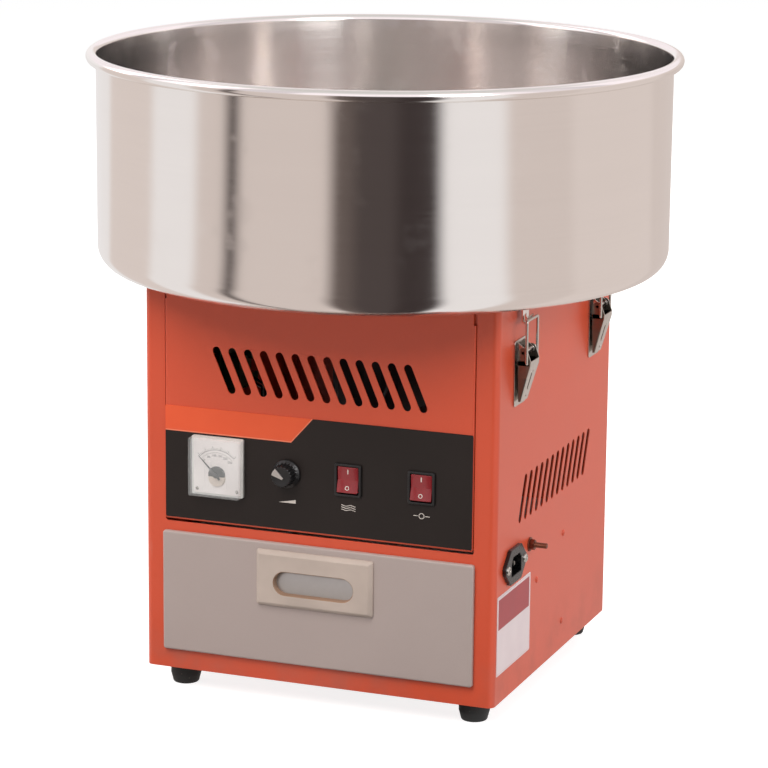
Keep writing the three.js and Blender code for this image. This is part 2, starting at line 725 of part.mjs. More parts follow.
function frontPanel() {
  const flangeBack = PANEL_FRONT + PANEL_FLANGE;
  const flangeTop = TOP - TRAY_FLANGE - FIT;
  const lugBack = FRONT + SHELL_SHEET;
  const lugs = BOTH.map((side) => block(
    side * PANEL_LUG_X - PANEL_LUG_WIDTH / 2, side * PANEL_LUG_X + PANEL_LUG_WIDTH / 2,
    PANEL_FRONT, lugBack, TOP - TRAY_FLANGE, TOP));
  const flanges = [
    block(-PANEL_HALF, PANEL_HALF, PANEL_FRONT, flangeBack, PANEL_LOW, PANEL_LOW + PANEL_SHEET),
    block(-PANEL_HALF, -PANEL_HALF + PANEL_SHEET, PANEL_FRONT, flangeBack, PANEL_LOW, flangeTop),
    block(PANEL_HALF - PANEL_SHEET, PANEL_HALF, PANEL_FRONT, flangeBack, PANEL_LOW, flangeTop),
  ];
  return cut(
    join(block(-PANEL_HALF, PANEL_HALF, PANEL_FRONT, PANEL_BACK, PANEL_LOW, TOP), ...flanges, ...lugs),
    alongY(slotRow(SLOT_COUNT, -SLOT_LEAN, SLOT_SHIFT, BOTTOM + FRONT_SLOT_Z),
      PANEL_FRONT - 1, PANEL_BACK + 1, 1),
    ...controlHoles(PANEL_FRONT - 1, PANEL_BACK + 1));
}

function controlOverlay() {
  const half = PANEL_HALF - OVERLAY_MARGIN;
  const low = PANEL_LOW + OVERLAY_RISE;
  return cut(
    block(-half, half, OVERLAY_FRONT, OVERLAY_FRONT + OVERLAY_SHEET, low, low + OVERLAY_HEIGHT),
    ...controlHoles(OVERLAY_FRONT - 1, PANEL_FRONT + 1));
}

housing.add(part('front_panel', frontPanel(), ORANGE));
housing.add(part('control_overlay', controlOverlay(), BLACK_GLOSS));

// Each control has a group whose origin is on the overlay's face; its front is towards -Y.
const controlGroup = (x) => group(housing, x, OVERLAY_FRONT - TOUCH, CONTROL_HEIGHT);
const BEHIND_PANEL = OVERLAY_SHEET + PANEL_SHEET + 3 * TOUCH;

// Voltmeter: flanged case, dial, needle on its movement, and a clear cover

const meter = controlGroup(METER_X);
const DIAL_FACE = -METER_FLANGE - TOUCH - DIAL_SHEET;
const MOVEMENT_FACE = DIAL_FACE - MOVEMENT_HEIGHT;

function meterCase() {
  const [w, h] = [METER_WIDTH / 2, METER_HEIGHT / 2];
  const studs = BOTH.map((side) => alongY(disc(METER_STUD_RADIUS, side * METER_STUD_SPACING / 2, 0),
    METER_BODY_DEPTH - 1, METER_BODY_DEPTH + METER_STUD_LENGTH, 3));
  return join(
    block(-w, w, -METER_FLANGE, 0, -h, h),
    alongY(disc(METER_BODY_RADIUS), -1, METER_BODY_DEPTH, 9),
    alongY(disc(MOVEMENT_RADIUS, 0, -MOVEMENT_DROP), MOVEMENT_FACE, -1, 6),
    ...studs);
}

function meterDial() {
  const [w, h] = [DIAL_WIDTH / 2, DIAL_HEIGHT / 2];
  return cut(
    block(-w, w, DIAL_FACE, DIAL_FACE + DIAL_SHEET, -h, h),
    alongY(disc(MOVEMENT_RADIUS + HOLE_GAP, 0, -MOVEMENT_DROP), DIAL_FACE - 1, 0, 6));
}

function meterCover() {
  const [w, h] = [METER_WIDTH / 2, METER_HEIGHT / 2];
  const back = -METER_FLANGE - TOUCH;
  const front = back - METER_COVER_DEPTH;
  return cut(
    block(-w, w, front, back, -h, h),
    block(-w + METER_WALL, w - METER_WALL, front + METER_WALL, back + 1, -h + METER_WALL, h - METER_WALL));
}

function meterNeedle() {
  const wide = NEEDLE_WIDTH / 2;
  const tip = NEEDLE_WIDTH / 6;
  const pointer = polygon([
    [-wide, -NEEDLE_TAIL], [wide, -NEEDLE_TAIL], [tip, NEEDLE_LENGTH], [-tip, NEEDLE_LENGTH]]);
  return join(
    alongY(pointer, -NEEDLE_SHEET, 0),
    alongY(disc(NEEDLE_HUB_RADIUS), -2 * NEEDLE_SHEET, 0));
}

meter.add(part('voltmeter_case', meterCase(), BLACK_PLASTIC));
meter.add(part('voltmeter_dial', meterDial(), WHITE));
meter.add(part('voltmeter_cover', meterCover(), CLEAR));
const needle = part('voltmeter_needle', meterNeedle(), BLACK_PLASTIC);
needle.position.set(0, MOVEMENT_FACE - HOLE_GAP, -MOVEMENT_DROP);
needle.rotation.y = -NEEDLE_REST;
meter.add(needle);

// Heat regulator behind the panel, and the pointer knob on its spindle

const dimmer = controlGroup(KNOB_X);

function regulatorBody() {
  const back = BEHIND_PANEL + REGULATOR_DEPTH;
  return join(
    alongY(disc(REGULATOR_RADIUS), BEHIND_PANEL, back, 6),
    alongY(disc(BUSH_RADIUS), -1, BEHIND_PANEL + 1, 5),
    alongY(disc(BUSH_NUT_RADIUS), -BUSH_NUT_HEIGHT, 0, 3),
    alongY(disc(SPINDLE_RADIUS), -SPINDLE_LENGTH, -1, 5),
    block(-TAB_WIDTH / 2, TAB_WIDTH / 2, back - 1, back + TAB_LENGTH, -TAB_SHEET / 2, TAB_SHEET / 2));
}

function knob() {
  const bore = SPINDLE_RADIUS + HOLE_GAP;
  const boreEnd = SPINDLE_LENGTH + FIT;
  const hollow = BUSH_NUT_RADIUS + 1;
  const hollowEnd = BUSH_NUT_HEIGHT + FIT;
  const round = turned([
    [bore, hollowEnd], [hollow, hollowEnd], [hollow, FIT], [KNOB_SKIRT_RADIUS, FIT],
    [KNOB_SKIRT_RADIUS, KNOB_SKIRT_HEIGHT * 0.6], [KNOB_RADIUS + 0.6, KNOB_SKIRT_HEIGHT],
    [KNOB_RADIUS, KNOB_HEIGHT - 1], [KNOB_RADIUS - 1, KNOB_HEIGHT], [0, KNOB_HEIGHT],
    [0, boreEnd], [bore, boreEnd], [bore, hollowEnd],
  ], 12);
  return join(round, block(-KNOB_POINTER_WIDTH / 2, KNOB_POINTER_WIDTH / 2, 1, KNOB_RADIUS,
    KNOB_HEIGHT - 1, KNOB_HEIGHT + KNOB_POINTER_HEIGHT));
}

dimmer.add(part('regulator_body', regulatorBody(), STEEL));
const knobMesh = part('regulator_knob', knob(), BLACK_PLASTIC);
knobMesh.rotation.set(Math.PI / 2, 0, KNOB_REST);
dimmer.add(knobMesh);

// Rocker switches: a case with a well in it, and a rocker on two pins across the well

function switchCase() {
  const [x, z] = [SWITCH_HALF_WIDTH, SWITCH_HALF_HEIGHT];
  const [w, h] = [BEZEL_WIDTH / 2, BEZEL_HEIGHT / 2];
  const tabs = BOTH.flatMap((i) => BOTH.map((j) => {
    const [tx, tz] = [i * TAB_SPACING_X / 2, j * TAB_SPACING_Z / 2];
    return block(tx - TAB_SHEET / 2, tx + TAB_SHEET / 2, SWITCH_DEPTH - 1, SWITCH_DEPTH + TAB_LENGTH,
      tz - TAB_WIDTH / 2, tz + TAB_WIDTH / 2);
  }));
  const wellWidth = ROCKER_WIDTH / 2 + HOLE_GAP;
  const wellHeight = ROCKER_HEIGHT / 2 + ROCKER_END_GAP;
  const wellFloor = ROCKER_SINK + ROCKER_DEPTH + ROCKER_FLOOR_GAP;
  return cut(
    join(block(-w, w, -BEZEL_DEPTH, 0, -h, h), block(-x, x, -1, SWITCH_DEPTH, -z, z), ...tabs),
    block(-wellWidth, wellWidth, -BEZEL_DEPTH - 1, wellFloor, -wellHeight, wellHeight),
    alongX(disc(ROCKER_PIN_RADIUS + HOLE_GAP, ROCKER_SINK, 0), -x - 1, x + 1));
}

// The rocker's section has its pivot at the origin and its face to the left.
function rocker() {
  const half = ROCKER_HEIGHT / 2;
  const shoulder = ROCKER_DEPTH / 2;
  const section = polygon([
    [-ROCKER_VALLEY, 0], [-ROCKER_RISE, -half], [shoulder, -half], [ROCKER_DEPTH, -half / 2],
    [ROCKER_DEPTH, half / 2], [shoulder, half], [-ROCKER_RISE, half],
  ]);
  const pinReach = SWITCH_HALF_WIDTH - HOLE_GAP;
  return join(
    alongX(section, -ROCKER_WIDTH / 2, ROCKER_WIDTH / 2),
    alongX(disc(ROCKER_PIN_RADIUS), -pinReach, pinReach));
}

for (const [name, x] of [['heat', HEAT_SWITCH_X], ['motor', MOTOR_SWITCH_X]]) {
  const place = controlGroup(x);
  place.add(part(`${name}_switch_case`, switchCase(), BLACK_PLASTIC));
  const paddle = part(`${name}_rocker`, rocker(), RED_CLEAR);
  paddle.position.y = ROCKER_SINK;
  paddle.rotation.x = -ROCKER_TILT;
  place.add(paddle);
}

// Drawer: a sheet metal box behind a folded front, with a recessed pull through both

const drawer = group(housing, 0, 0, 0);
const DRAWER_FACE = FRONT - DRAWER_PROUD;
const BOX_FRONT = DRAWER_FACE + DRAWER_SHEET + TOUCH;
const PULL_MIDDLE = BOTTOM + PULL_Z;

function cupOutline(grow) {
  const reach = (CUP_LENGTH - CUP_HEIGHT) / 2;
  const z = PULL_MIDDLE - CUP_DROP;
  return slot(-reach, z, reach, z, CUP_HEIGHT / 2 + grow);
}

function pullHole() {
  return alongY(cupOutline(CUP_WALL + HOLE_GAP), DRAWER_FACE - 1, BOX_FRONT + DRAWER_SHEET + 1, 4);
}

function drawerFront() {
  const half = DRAWER_WIDTH / 2;
  const back = FRONT - FIT;
  return cut(
    block(-half, half, DRAWER_FACE, back, DRAWER_LOW, DRAWER_HIGH),
    block(-half + DRAWER_SHEET, half - DRAWER_SHEET, DRAWER_FACE + DRAWER_SHEET, back + 1,
      DRAWER_LOW + DRAWER_SHEET, DRAWER_HIGH - DRAWER_SHEET),
    pullHole());
}

function drawerBox() {
  const back = BOX_FRONT + DRAWER_LENGTH;
  return cut(
    block(-BOX_HALF, BOX_HALF, BOX_FRONT, back, BOX_LOW, BOX_HIGH),
    block(-BOX_HALF + DRAWER_SHEET, BOX_HALF - DRAWER_SHEET, BOX_FRONT + DRAWER_SHEET, back - DRAWER_SHEET,
      BOX_LOW + DRAWER_SHEET, BOX_HIGH + 1),
    pullHole());
}

function drawerPull() {
  const seat = DRAWER_FACE - TOUCH;
  const face = seat - PULL_THICKNESS;
  const [w, h] = [PULL_WIDTH / 2 - PULL_BEVEL, PULL_HEIGHT / 2 - PULL_BEVEL];
  const bevelled = new THREE.ExtrudeGeometry(rectangle(-w, PULL_MIDDLE - h, w, PULL_MIDDLE + h), {
    depth: PULL_THICKNESS, bevelThickness: PULL_BEVEL, bevelSize: PULL_BEVEL, bevelSegments: 2,
  }).rotateX(Math.PI / 2).translate(0, seat + PULL_BEVEL, 0);
  const behind = block(-PULL_WIDTH, PULL_WIDTH, seat, seat + PULL_WIDTH, 0, TOP);
  const cup = alongY(cupOutline(CUP_WALL), seat - 1, face + CUP_DEPTH + CUP_WALL, 4);
  return cut(
    join(cut(bevelled, behind), cup),
    alongY(cupOutline(0), face - 1, face + CUP_DEPTH, 4));
}

drawer.add(part('drawer_front', drawerFront(), GREY_PAINT));
drawer.add(part('drawer_box', drawerBox(), ZINC));
drawer.add(part('drawer_handle', drawerPull(), IVORY));

// Drawer runners: a shelf with a guide, a low wall, and a riser that three rivets hold on the side

function runner() {
  const wall = WALL_INSIDE - TOUCH;
  const shelfTop = BOX_LOW - TOUCH;
  const shelfLow = shelfTop - RUNNER_SHEET;
  const front = FRONT + BEND_RADIUS + FIT;
  const back = front + RUNNER_LENGTH;
  const guide = BOX_HALF + FIT;
  const rivets = RUNNER_RIVETS.map(
    ([y, z]) => rivet(SHELL_SHEET + RUNNER_SHEET + TOUCH).translate(HALF_WIDTH, y, z));
  return join(
    block(BOX_HALF - RUNNER_SHELF, wall, front, back, shelfLow, shelfTop),
    block(wall - RUNNER_SHEET, wall, front, back, shelfLow, shelfTop + RUNNER_WALL),
    block(guide, guide + RUNNER_SHEET, front, back, shelfLow, shelfTop + RUNNER_GUIDE),
    block(wall - RUNNER_SHEET, wall, RISER_FRONT, RISER_BACK, RISER_LOW, RISER_LOW + RISER_HEIGHT),
    ...rivets);
}

housing.add(part('drawer_runner_right', runner(), ZINC));
housing.add(part('drawer_runner_left', mirrored(runner()), ZINC));

// Mains inlet and earth stud: groups whose origin is on the right side's face, outwards to +X

const inlet = group(housing, HALF_WIDTH + TOUCH, INLET_Y, INLET_HEIGHT);

function inletBody() {
  const half = INLET_SIZE / 2;
  const reach = INLET_EAR_SPACING / 2;
  const [x, z] = [INLET_HALF_WIDTH, INLET_HALF_HEIGHT];
  const [w, h] = [SOCKET_WIDTH / 2, SOCKET_HEIGHT / 2];
  const corner = SOCKET_HEIGHT / 4;
  const floor = INLET_FLANGE - SOCKET_DEPTH;
  const body = join(
    block(0, INLET_FLANGE, -half, half, -half, half),
    alongX(slot(-reach, 0, reach, 0, INLET_EAR_RADIUS), 0, INLET_FLANGE),
    block(-INLET_DEPTH, 1, -x, x, -z, z));
  const socket = alongX(polygon([
    [-w, -h], [w, -h], [w, h - corner], [w - corner, h], [-w + corner, h], [-w, h - corner],
  ]), floor, INLET_FLANGE + 1);
  const pins = [[-PIN_SPACING / 2, -1], [PIN_SPACING / 2, -1], [0, PIN_HEIGHT - 1]].map(([y, up]) => block(
    floor - 1, INLET_FLANGE - PIN_SINK, y - PIN_WIDTH / 2, y + PIN_WIDTH / 2,
    up - PIN_HEIGHT / 2, up + PIN_HEIGHT / 2));
  const screws = BOTH.map(
    (side) => panScrew(SCREW_LENGTH).rotateY(Math.PI / 2).translate(INLET_FLANGE, side * reach, 0));
  return join(cut(body, socket), ...pins, ...screws);
}

inlet.add(part('power_inlet', inletBody(), BLACK_PLASTIC));

function earthStud() {
  const inside = -SHELL_SHEET - 2 * TOUCH;
  const nut = EARTH_NUT_HEIGHT;
  return join(
    rod(EARTH_RADIUS, inside - nut - 2, EARTH_LENGTH, 6),
    rod(EARTH_NUT_RADIUS + 1.4, 0, 1, 8),
    rod(EARTH_NUT_RADIUS, 0.5, nut + 1, 6),
    rod(EARTH_NUT_RADIUS, inside - nut, inside, 6));
}

const earth = group(housing, HALF_WIDTH + TOUCH, EARTH_Y, EARTH_HEIGHT);
const earthMesh = part('earth_stud', earthStud(), BRASS);
earthMesh.rotation.y = Math.PI / 2;
earth.add(earthMesh);

// Draw latches. Each has a group on a side's face, outwards to +X; the left ones are turned half round.

const LATCH_PIN_HEIGHT = BOTTOM + LATCH_PIN_Z;
const LOOP_PIVOT_HEIGHT = LATCH_PIN_HEIGHT - LOOP_PIVOT_DROP;
const LOOP_TOP = LOOP_PIVOT_HEIGHT + LOOP_HEIGHT;
const LOOP_HALF = LEVER_WIDTH / 2 + 2 * HOLE_GAP + LOOP_RADIUS;

// Base: a plate with two ears and the lever's pin, riveted on the side
function latchBase() {
  const [half, out] = [LATCH_WIDTH / 2, LATCH_PIN_OUT];
  const z = LATCH_PIN_HEIGHT;
  const plate = block(TOUCH, TOUCH + LATCH_SHEET, -half, half,
    BOTTOM + LATCH_BASE_LOW, BOTTOM + LATCH_BASE_HIGH);
  const outline = polygon([
    [TOUCH, z - EAR_ROOT], [out, z - EAR_RADIUS], [out + EAR_RADIUS, z], [out, z + EAR_RADIUS],
    [TOUCH, z + EAR_ROOT],
  ]);
  const ears = BOTH.map((side) => alongY(outline,
    (side * EAR_SPACING - LATCH_SHEET) / 2, (side * EAR_SPACING + LATCH_SHEET) / 2));
  const pin = alongY(disc(LATCH_PIN_RADIUS, out, z), -LEVER_WIDTH / 2, LEVER_WIDTH / 2);
  const rivets = LATCH_RIVET_ZS.map((height) => rivet(LATCH_SHEET + SHELL_SHEET + TOUCH)
    .translate(LATCH_SHEET + TOUCH, 0, BOTTOM + height));
  return join(plate, ...ears, pin, ...rivets);
}

// Lever: a channel that is wide and deep at its pivot, tapers to its tip, and is hollow to the housing
function latchLever() {
  const tipZ = LATCH_PIN_HEIGHT - LEVER_LENGTH;
  const shoulder = LOOP_PIVOT_HEIGHT - LEVER_EDGE;
  const out = LOOP_PIVOT_OUT + LOOP_RADIUS + LEVER_EDGE;
  const cheek = new THREE.Shape();
  cheek.absarc(LATCH_PIN_OUT, LATCH_PIN_HEIGHT, LEVER_END_RADIUS, Math.PI, 0, true);
  cheek.lineTo(out, LOOP_PIVOT_HEIGHT + LEVER_EDGE);
  cheek.lineTo(out, shoulder);
  cheek.lineTo(LEVER_TIP_OUT, tipZ);
  cheek.lineTo(LEVER_TIP_OUT - LEVER_TIP_THICKNESS, tipZ);
  cheek.closePath();
  const hollow = polygon([
    [-out, LATCH_PIN_HEIGHT + LEVER_LENGTH], [2 * out, LATCH_PIN_HEIGHT + LEVER_LENGTH],
    [2 * out, LOOP_PIVOT_HEIGHT + LEVER_EDGE], [out - LATCH_SHEET, LOOP_PIVOT_HEIGHT + LEVER_EDGE],
    [out - LATCH_SHEET, shoulder], [LEVER_TIP_OUT - LATCH_SHEET, tipZ + LEVER_TIP_HEIGHT],
    [-out, tipZ + LEVER_TIP_HEIGHT],
  ]);
  // What the taper takes off a body of this half width, on both sides
  const taper = (half) => BOTH.map((side) => alongX(polygon([
    [side * half, shoulder], [side * (half - (LEVER_WIDTH - LEVER_TIP_WIDTH) / 2), tipZ],
    [side * (half - (LEVER_WIDTH - LEVER_TIP_WIDTH) / 2), tipZ - 1],
    [side * LEVER_WIDTH, tipZ - 1], [side * LEVER_WIDTH, shoulder],
  ]), -3 * out, 3 * out));
  const half = LEVER_WIDTH / 2;
  const inner = half - LATCH_SHEET;
  return cut(
    alongY(cheek, -half, half),
    ...taper(half),
    cut(alongY(hollow, -inner, inner), ...taper(inner)),
    alongY([disc(LATCH_PIN_RADIUS + HOLE_GAP, LATCH_PIN_OUT, LATCH_PIN_HEIGHT),
      disc(LOOP_RADIUS + HOLE_GAP, LOOP_PIVOT_OUT, LOOP_PIVOT_HEIGHT)], -half - 1, half + 1));
}

// Loop: a wire bail of two legs and a bar, with two ends hooked into the lever's cheeks
function latchLoop() {
  const inward = LEVER_WIDTH / 2 - LATCH_SHEET;
  const legs = BOTH.flatMap((side) => [
    alongY(disc(LOOP_RADIUS, LOOP_PIVOT_OUT, LOOP_PIVOT_HEIGHT),
      Math.min(side * inward, side * LOOP_HALF), Math.max(side * inward, side * LOOP_HALF)),
    rod(LOOP_RADIUS, LOOP_PIVOT_HEIGHT - LOOP_RADIUS, LOOP_TOP + LOOP_RADIUS, 6)
      .translate(LOOP_PIVOT_OUT, side * LOOP_HALF, 0),
  ]);
  return join(...legs, alongY(disc(LOOP_RADIUS, LOOP_PIVOT_OUT, LOOP_TOP), -LOOP_HALF, LOOP_HALF));
}

const LATCH_SPOTS = BOTH.flatMap((side) => BOTH.map((end) => ({
  name: `${side > 0 ? 'right' : 'left'}_${end > 0 ? 'rear' : 'front'}`, side, y: end * LATCH_SPACING / 2,
})));

for (const { name, side, y } of LATCH_SPOTS) {
  const place = group(housing, side * HALF_WIDTH, y, 0);
  place.rotation.z = side > 0 ? 0 : Math.PI;
  place.add(part(`latch_base_${name}`, latchBase(), ZINC));
  place.add(part(`latch_lever_${name}`, latchLever(), ZINC));
  place.add(part(`latch_loop_${name}`, latchLoop(), ZINC));
}

// Bowl on its gasket, with the latches' keepers welded under its floor

const gasket = ring(GASKET_RADIUS - GASKET_WIDTH, GASKET_RADIUS, 0, GASKET_HEIGHT, 28);
group(machine, 0, 0, TOP + TOUCH).add(part('bowl_gasket', gasket, RUBBER));

// Points of an arc about (x, z), from one angle to another in quarter turns
function arc(x, z, radius, from, to, steps) {
  const points = [];
  for (let i = 0; i <= steps; i += 1) {
    const angle = (from + (i / steps) * (to - from)) * Math.PI / 2;
    points.push([x + radius * Math.cos(angle), z + radius * Math.sin(angle)]);
  }
  return points;
}

// The bowl's section: out along its floor, up the wall, round the rolled rim, and back inside
function bowlShell() {
  const wall = BOWL_RADIUS - 2 * RIM_RADIUS - RIM_FLARE;
  const corner = wall - BOWL_CORNER;
  const rimHeight = BOWL_HEIGHT - RIM_RADIUS;
  const flare = rimHeight - 2.2 * RIM_RADIUS;
  const hole = BOWL_HOLE_RADIUS;
  const sheet = BOWL_SHEET;
  return turned([
    [hole, 0],
    ...arc(corner, BOWL_CORNER, BOWL_CORNER, -1, 0, 3),
    [wall, flare],
    ...arc(BOWL_RADIUS - RIM_RADIUS, rimHeight, RIM_RADIUS, -1.5, 1.7, 5),
    [wall - sheet, flare],
    ...arc(corner, BOWL_CORNER, BOWL_CORNER - sheet, 0, -1, 3),
    [hole + sheet, sheet], [hole + sheet, sheet + BOWL_COLLAR], [hole, sheet + BOWL_COLLAR], [hole, 0],
  ], 36);
}

// Keeper: a hook whose lip stands just inboard of a closed loop's bar
function bowlKeeper() {
  const half = KEEPER_WIDTH / 2;
  const floor = BOWL_SHEET / 2;
  const lipOut = LOOP_PIVOT_OUT - LOOP_RADIUS - FIT;
  const stemOut = lipOut - KEEPER_HOOK;
  const low = LOOP_TOP - KEEPER_LIP / 2 - LATCH_SHEET - BOWL_Z;
  return join(
    block(stemOut - KEEPER_FOOT, stemOut, -half, half, -LATCH_SHEET, floor),
    block(stemOut - LATCH_SHEET, stemOut, -half, half, low, floor),
    block(stemOut - LATCH_SHEET, lipOut, -half, half, low, low + LATCH_SHEET),
    block(lipOut - LATCH_SHEET, lipOut, -half, half, low, low + LATCH_SHEET + KEEPER_LIP));
}

const keepers = LATCH_SPOTS.map(({ side, y }) => {
  const keeper = geometryOf(bowlKeeper());
  keeper.rotateZ(side > 0 ? 0 : Math.PI);
  return keeper.translate(side * HALF_WIDTH, y + HOUSING_SETBACK, 0);
});
group(machine, 0, 0, BOWL_Z).add(part('bowl', join(bowlShell(), ...keepers), STAINLESS));

// Motor, hung from the top plate on a bracket with rubber pads

const drive = group(machine, 0, 0, 0);

function bracket() {
  const [w, t] = [BRACKET_WIDTH / 2, BRACKET_SHEET];
  const reach = w + BRACKET_FLANGE;
  const low = PLATE_TOP - t;
  const outline = polygon([
    [-reach, FLANGE_TOP], [-reach, FLANGE_TOP - t], [-w - t, FLANGE_TOP - t], [-w - t, low],
    [w + t, low], [w + t, FLANGE_TOP - t], [reach, FLANGE_TOP - t], [reach, FLANGE_TOP],
    [w, FLANGE_TOP], [w, PLATE_TOP], [-w, PLATE_TOP], [-w, FLANGE_TOP],
  ]);
  const holes = STAY_PLACES.map(([x, y]) => disc(STAY_RADIUS + HOLE_GAP, x, y));
  return cut(
    alongY(outline, -BRACKET_DEPTH / 2, BRACKET_DEPTH / 2),
    alongZ(holes, FLANGE_TOP - t - 1, FLANGE_TOP + 1),
    alongZ(disc(SHAFT_RADIUS + PAD_MARGIN), low - 1, PLATE_TOP + 1, 6));
}

function motorPad(side) {
  const middle = side * (BRACKET_WIDTH + BRACKET_FLANGE) / 2;
  const half = BRACKET_FLANGE / 2 - PAD_MARGIN;
  const reach = BRACKET_DEPTH / 2 - PAD_MARGIN;
  const low = FLANGE_TOP + TOUCH;
  const holes = STAY_PLACES.map(([x, y]) => disc(STAY_RADIUS + HOLE_GAP, x, y));
  return cut(
    block(middle - half, middle + half, -reach, reach, low, low + PAD_HEIGHT),
    alongZ(holes, low - 1, low + PAD_HEIGHT + 1));
}

// Motor: two end bells round a stator, bored for its shaft
function motor() {
  const step = MOTOR_HEIGHT / 5;
  const bell = MOTOR_RADIUS - step / 5;
  return turned([
    [SHAFT_BORE, MOTOR_BOTTOM], [bell * 0.6, MOTOR_BOTTOM], [bell, MOTOR_BOTTOM + step / 2],
    [bell, MOTOR_BOTTOM + step], [MOTOR_RADIUS, MOTOR_BOTTOM + step],
    [MOTOR_RADIUS, MOTOR_TOP - step], [bell, MOTOR_TOP - step], [bell, MOTOR_TOP],
    [SHAFT_BORE, MOTOR_TOP], [SHAFT_BORE, MOTOR_BOTTOM],
  ], 18);
}

drive.add(part('motor_bracket', bracket(), STEEL));
drive.add(part('motor_pad_left', motorPad(-1), RUBBER));
drive.add(part('motor_pad_right', motorPad(1), RUBBER));
drive.add(part('motor_body', motor(), DARK_PAINT));

// Everything on the shaft turns with it: the fan, the slip rings and the head.

const spinner = group(machine, 0, 0, 0);
const FAN_HIGH = MOTOR_BOTTOM - PAD_MARGIN;
const FAN_LOW = FAN_HIGH - FAN_HEIGHT;
const SHAFT_HIGH = HEAD_FLOOR + HEAD_NUT_HEIGHT + 1;
spinner.add(part('motor_shaft', rod(SHAFT_RADIUS, FAN_LOW - 2, SHAFT_HIGH, 14), STEEL));

function fan() {
  const span = FAN_RADIUS - FAN_HUB_RADIUS + 1;
  const blades = [];
  for (let i = 0; i < FAN_BLADES; i += 1) {
    const blade = new THREE.BoxGeometry(span, FAN_HEIGHT, FAN_SHEET).rotateX(Math.PI / 5);
    blade.translate(FAN_HUB_RADIUS - 1 + span / 2, 0, (FAN_LOW + FAN_HIGH) / 2);
    blades.push(blade.rotateZ((i / FAN_BLADES) * 2 * Math.PI));
  }
  return cut(join(rod(FAN_HUB_RADIUS, FAN_LOW, FAN_HIGH, 14), ...blades),
    rod(SHAFT_BORE, FAN_LOW - 1, FAN_HIGH + 1, 14));
}

spinner.add(part('cooling_fan', fan(), BLACK_PLASTIC));

// Slip rings: a resin hub with two grooves and a brass ring in each
const GROOVE_LOWS = [0, 1].map((i) => HUB_BOTTOM + HUB_FLANGE + i * (HUB_FLANGE + HUB_GROOVE));

function slipRingHub() {
  const profile = [[SHAFT_BORE, HUB_BOTTOM], [HUB_FLANGE_RADIUS, HUB_BOTTOM]];
  for (const low of GROOVE_LOWS) {
    profile.push([HUB_FLANGE_RADIUS, low], [HUB_RADIUS, low]);
    profile.push([HUB_RADIUS, low + HUB_GROOVE], [HUB_FLANGE_RADIUS, low + HUB_GROOVE]);
  }
  profile.push([HUB_FLANGE_RADIUS, HUB_TOP], [SHAFT_BORE, HUB_TOP], [SHAFT_BORE, HUB_BOTTOM]);
  return turned(profile, 12);
}

spinner.add(part('slip_ring_hub', slipRingHub(), BROWN_RESIN));
['lower', 'upper'].forEach((name, i) => {
  const low = GROOVE_LOWS[i] + TOUCH;
  const band = ring(HUB_RADIUS + HOLE_GAP, RING_RADIUS, low, low + RING_HEIGHT, 12);
  spinner.add(part(`slip_ring_${name}`, band, BRASS));
});

// Brush gear: a block on the bracket, and a carbon brush with its spring arm for each ring
const BRUSH_FRONT = RING_RADIUS + HOLE_GAP;
const ARM_FRONT = BRUSH_FRONT + BRUSH_LENGTH;
const HOLDER_FRONT = ARM_FRONT + ARM_SHEET + TOUCH;
const HOLDER_X = ARM_LENGTH - BRUSH_WIDTH / 2 - HOLDER_SIZE / 2;

drive.add(part('brush_holder', block(HOLDER_X - HOLDER_SIZE / 2, HOLDER_X + HOLDER_SIZE / 2,
  HOLDER_FRONT, HOLDER_FRONT + HOLDER_SIZE, PLATE_TOP + TOUCH, HUB_TOP), BROWN_RESIN));
['lower', 'upper'].forEach((name, i) => {
  const z = GROOVE_LOWS[i] + HUB_GROOVE / 2;
  const half = BRUSH_WIDTH / 2;
  drive.add(part(`brush_${name}`, join(
    block(-half, half, BRUSH_FRONT, ARM_FRONT + ARM_SHEET / 2, z - BRUSH_HEIGHT / 2, z + BRUSH_HEIGHT / 2),
    block(-half, ARM_LENGTH - half, ARM_FRONT, ARM_FRONT + ARM_SHEET, z - half, z + half)), CARBON));
});

// Head: a base with its hub and three studs, a heater ring, a windowed band, and a cone over them

const BAND_RADIUS = HEAD_RADIUS - BAND_INSET;
const STUD_PLACES = [...Array(STUD_COUNT).keys()].map((i) => {
  const angle = Math.PI / 6 + (i / STUD_COUNT) * 2 * Math.PI;
  return [STUD_CIRCLE * Math.cos(angle), STUD_CIRCLE * Math.sin(angle)];
});

function headBase() {
  const low = HEAD_Z - HEAD_HUB_LENGTH;
  const lip = HEAD_FLOOR + HEAD_LIP;
  const seat = COVER_Z + COVER_WALL + TOUCH;
  const dish = turned([
    [SHAFT_BORE, low], [HEAD_HUB_RADIUS, low], [HEAD_HUB_RADIUS, HEAD_Z - HEAD_SHEET],
    [HEAD_HUB_RADIUS + HEAD_SHEET, HEAD_Z], [HEAD_RADIUS - HEAD_SHEET, HEAD_Z],
    [HEAD_RADIUS, HEAD_FLOOR], [HEAD_RADIUS, lip], [BAND_RADIUS + FIT, lip],
    [BAND_RADIUS + FIT, HEAD_FLOOR], [SHAFT_BORE, HEAD_FLOOR], [SHAFT_BORE, low],
  ], BAND_WINDOWS * 2);
  const studs = STUD_PLACES.map(([x, y]) => turned([
    [0, HEAD_FLOOR - 1], [STUD_RADIUS, HEAD_FLOOR - 1], [STUD_RADIUS, seat], [STUD_NUT_RADIUS, seat],
    [STUD_NUT_RADIUS, seat + STUD_NUT_HEIGHT * 0.5], [STUD_NUT_RADIUS * 0.6, seat + STUD_NUT_HEIGHT * 0.9],
    [0, seat + STUD_NUT_HEIGHT],
  ], 6).translate(x, y, 0));
  return join(dish, ...studs);
}

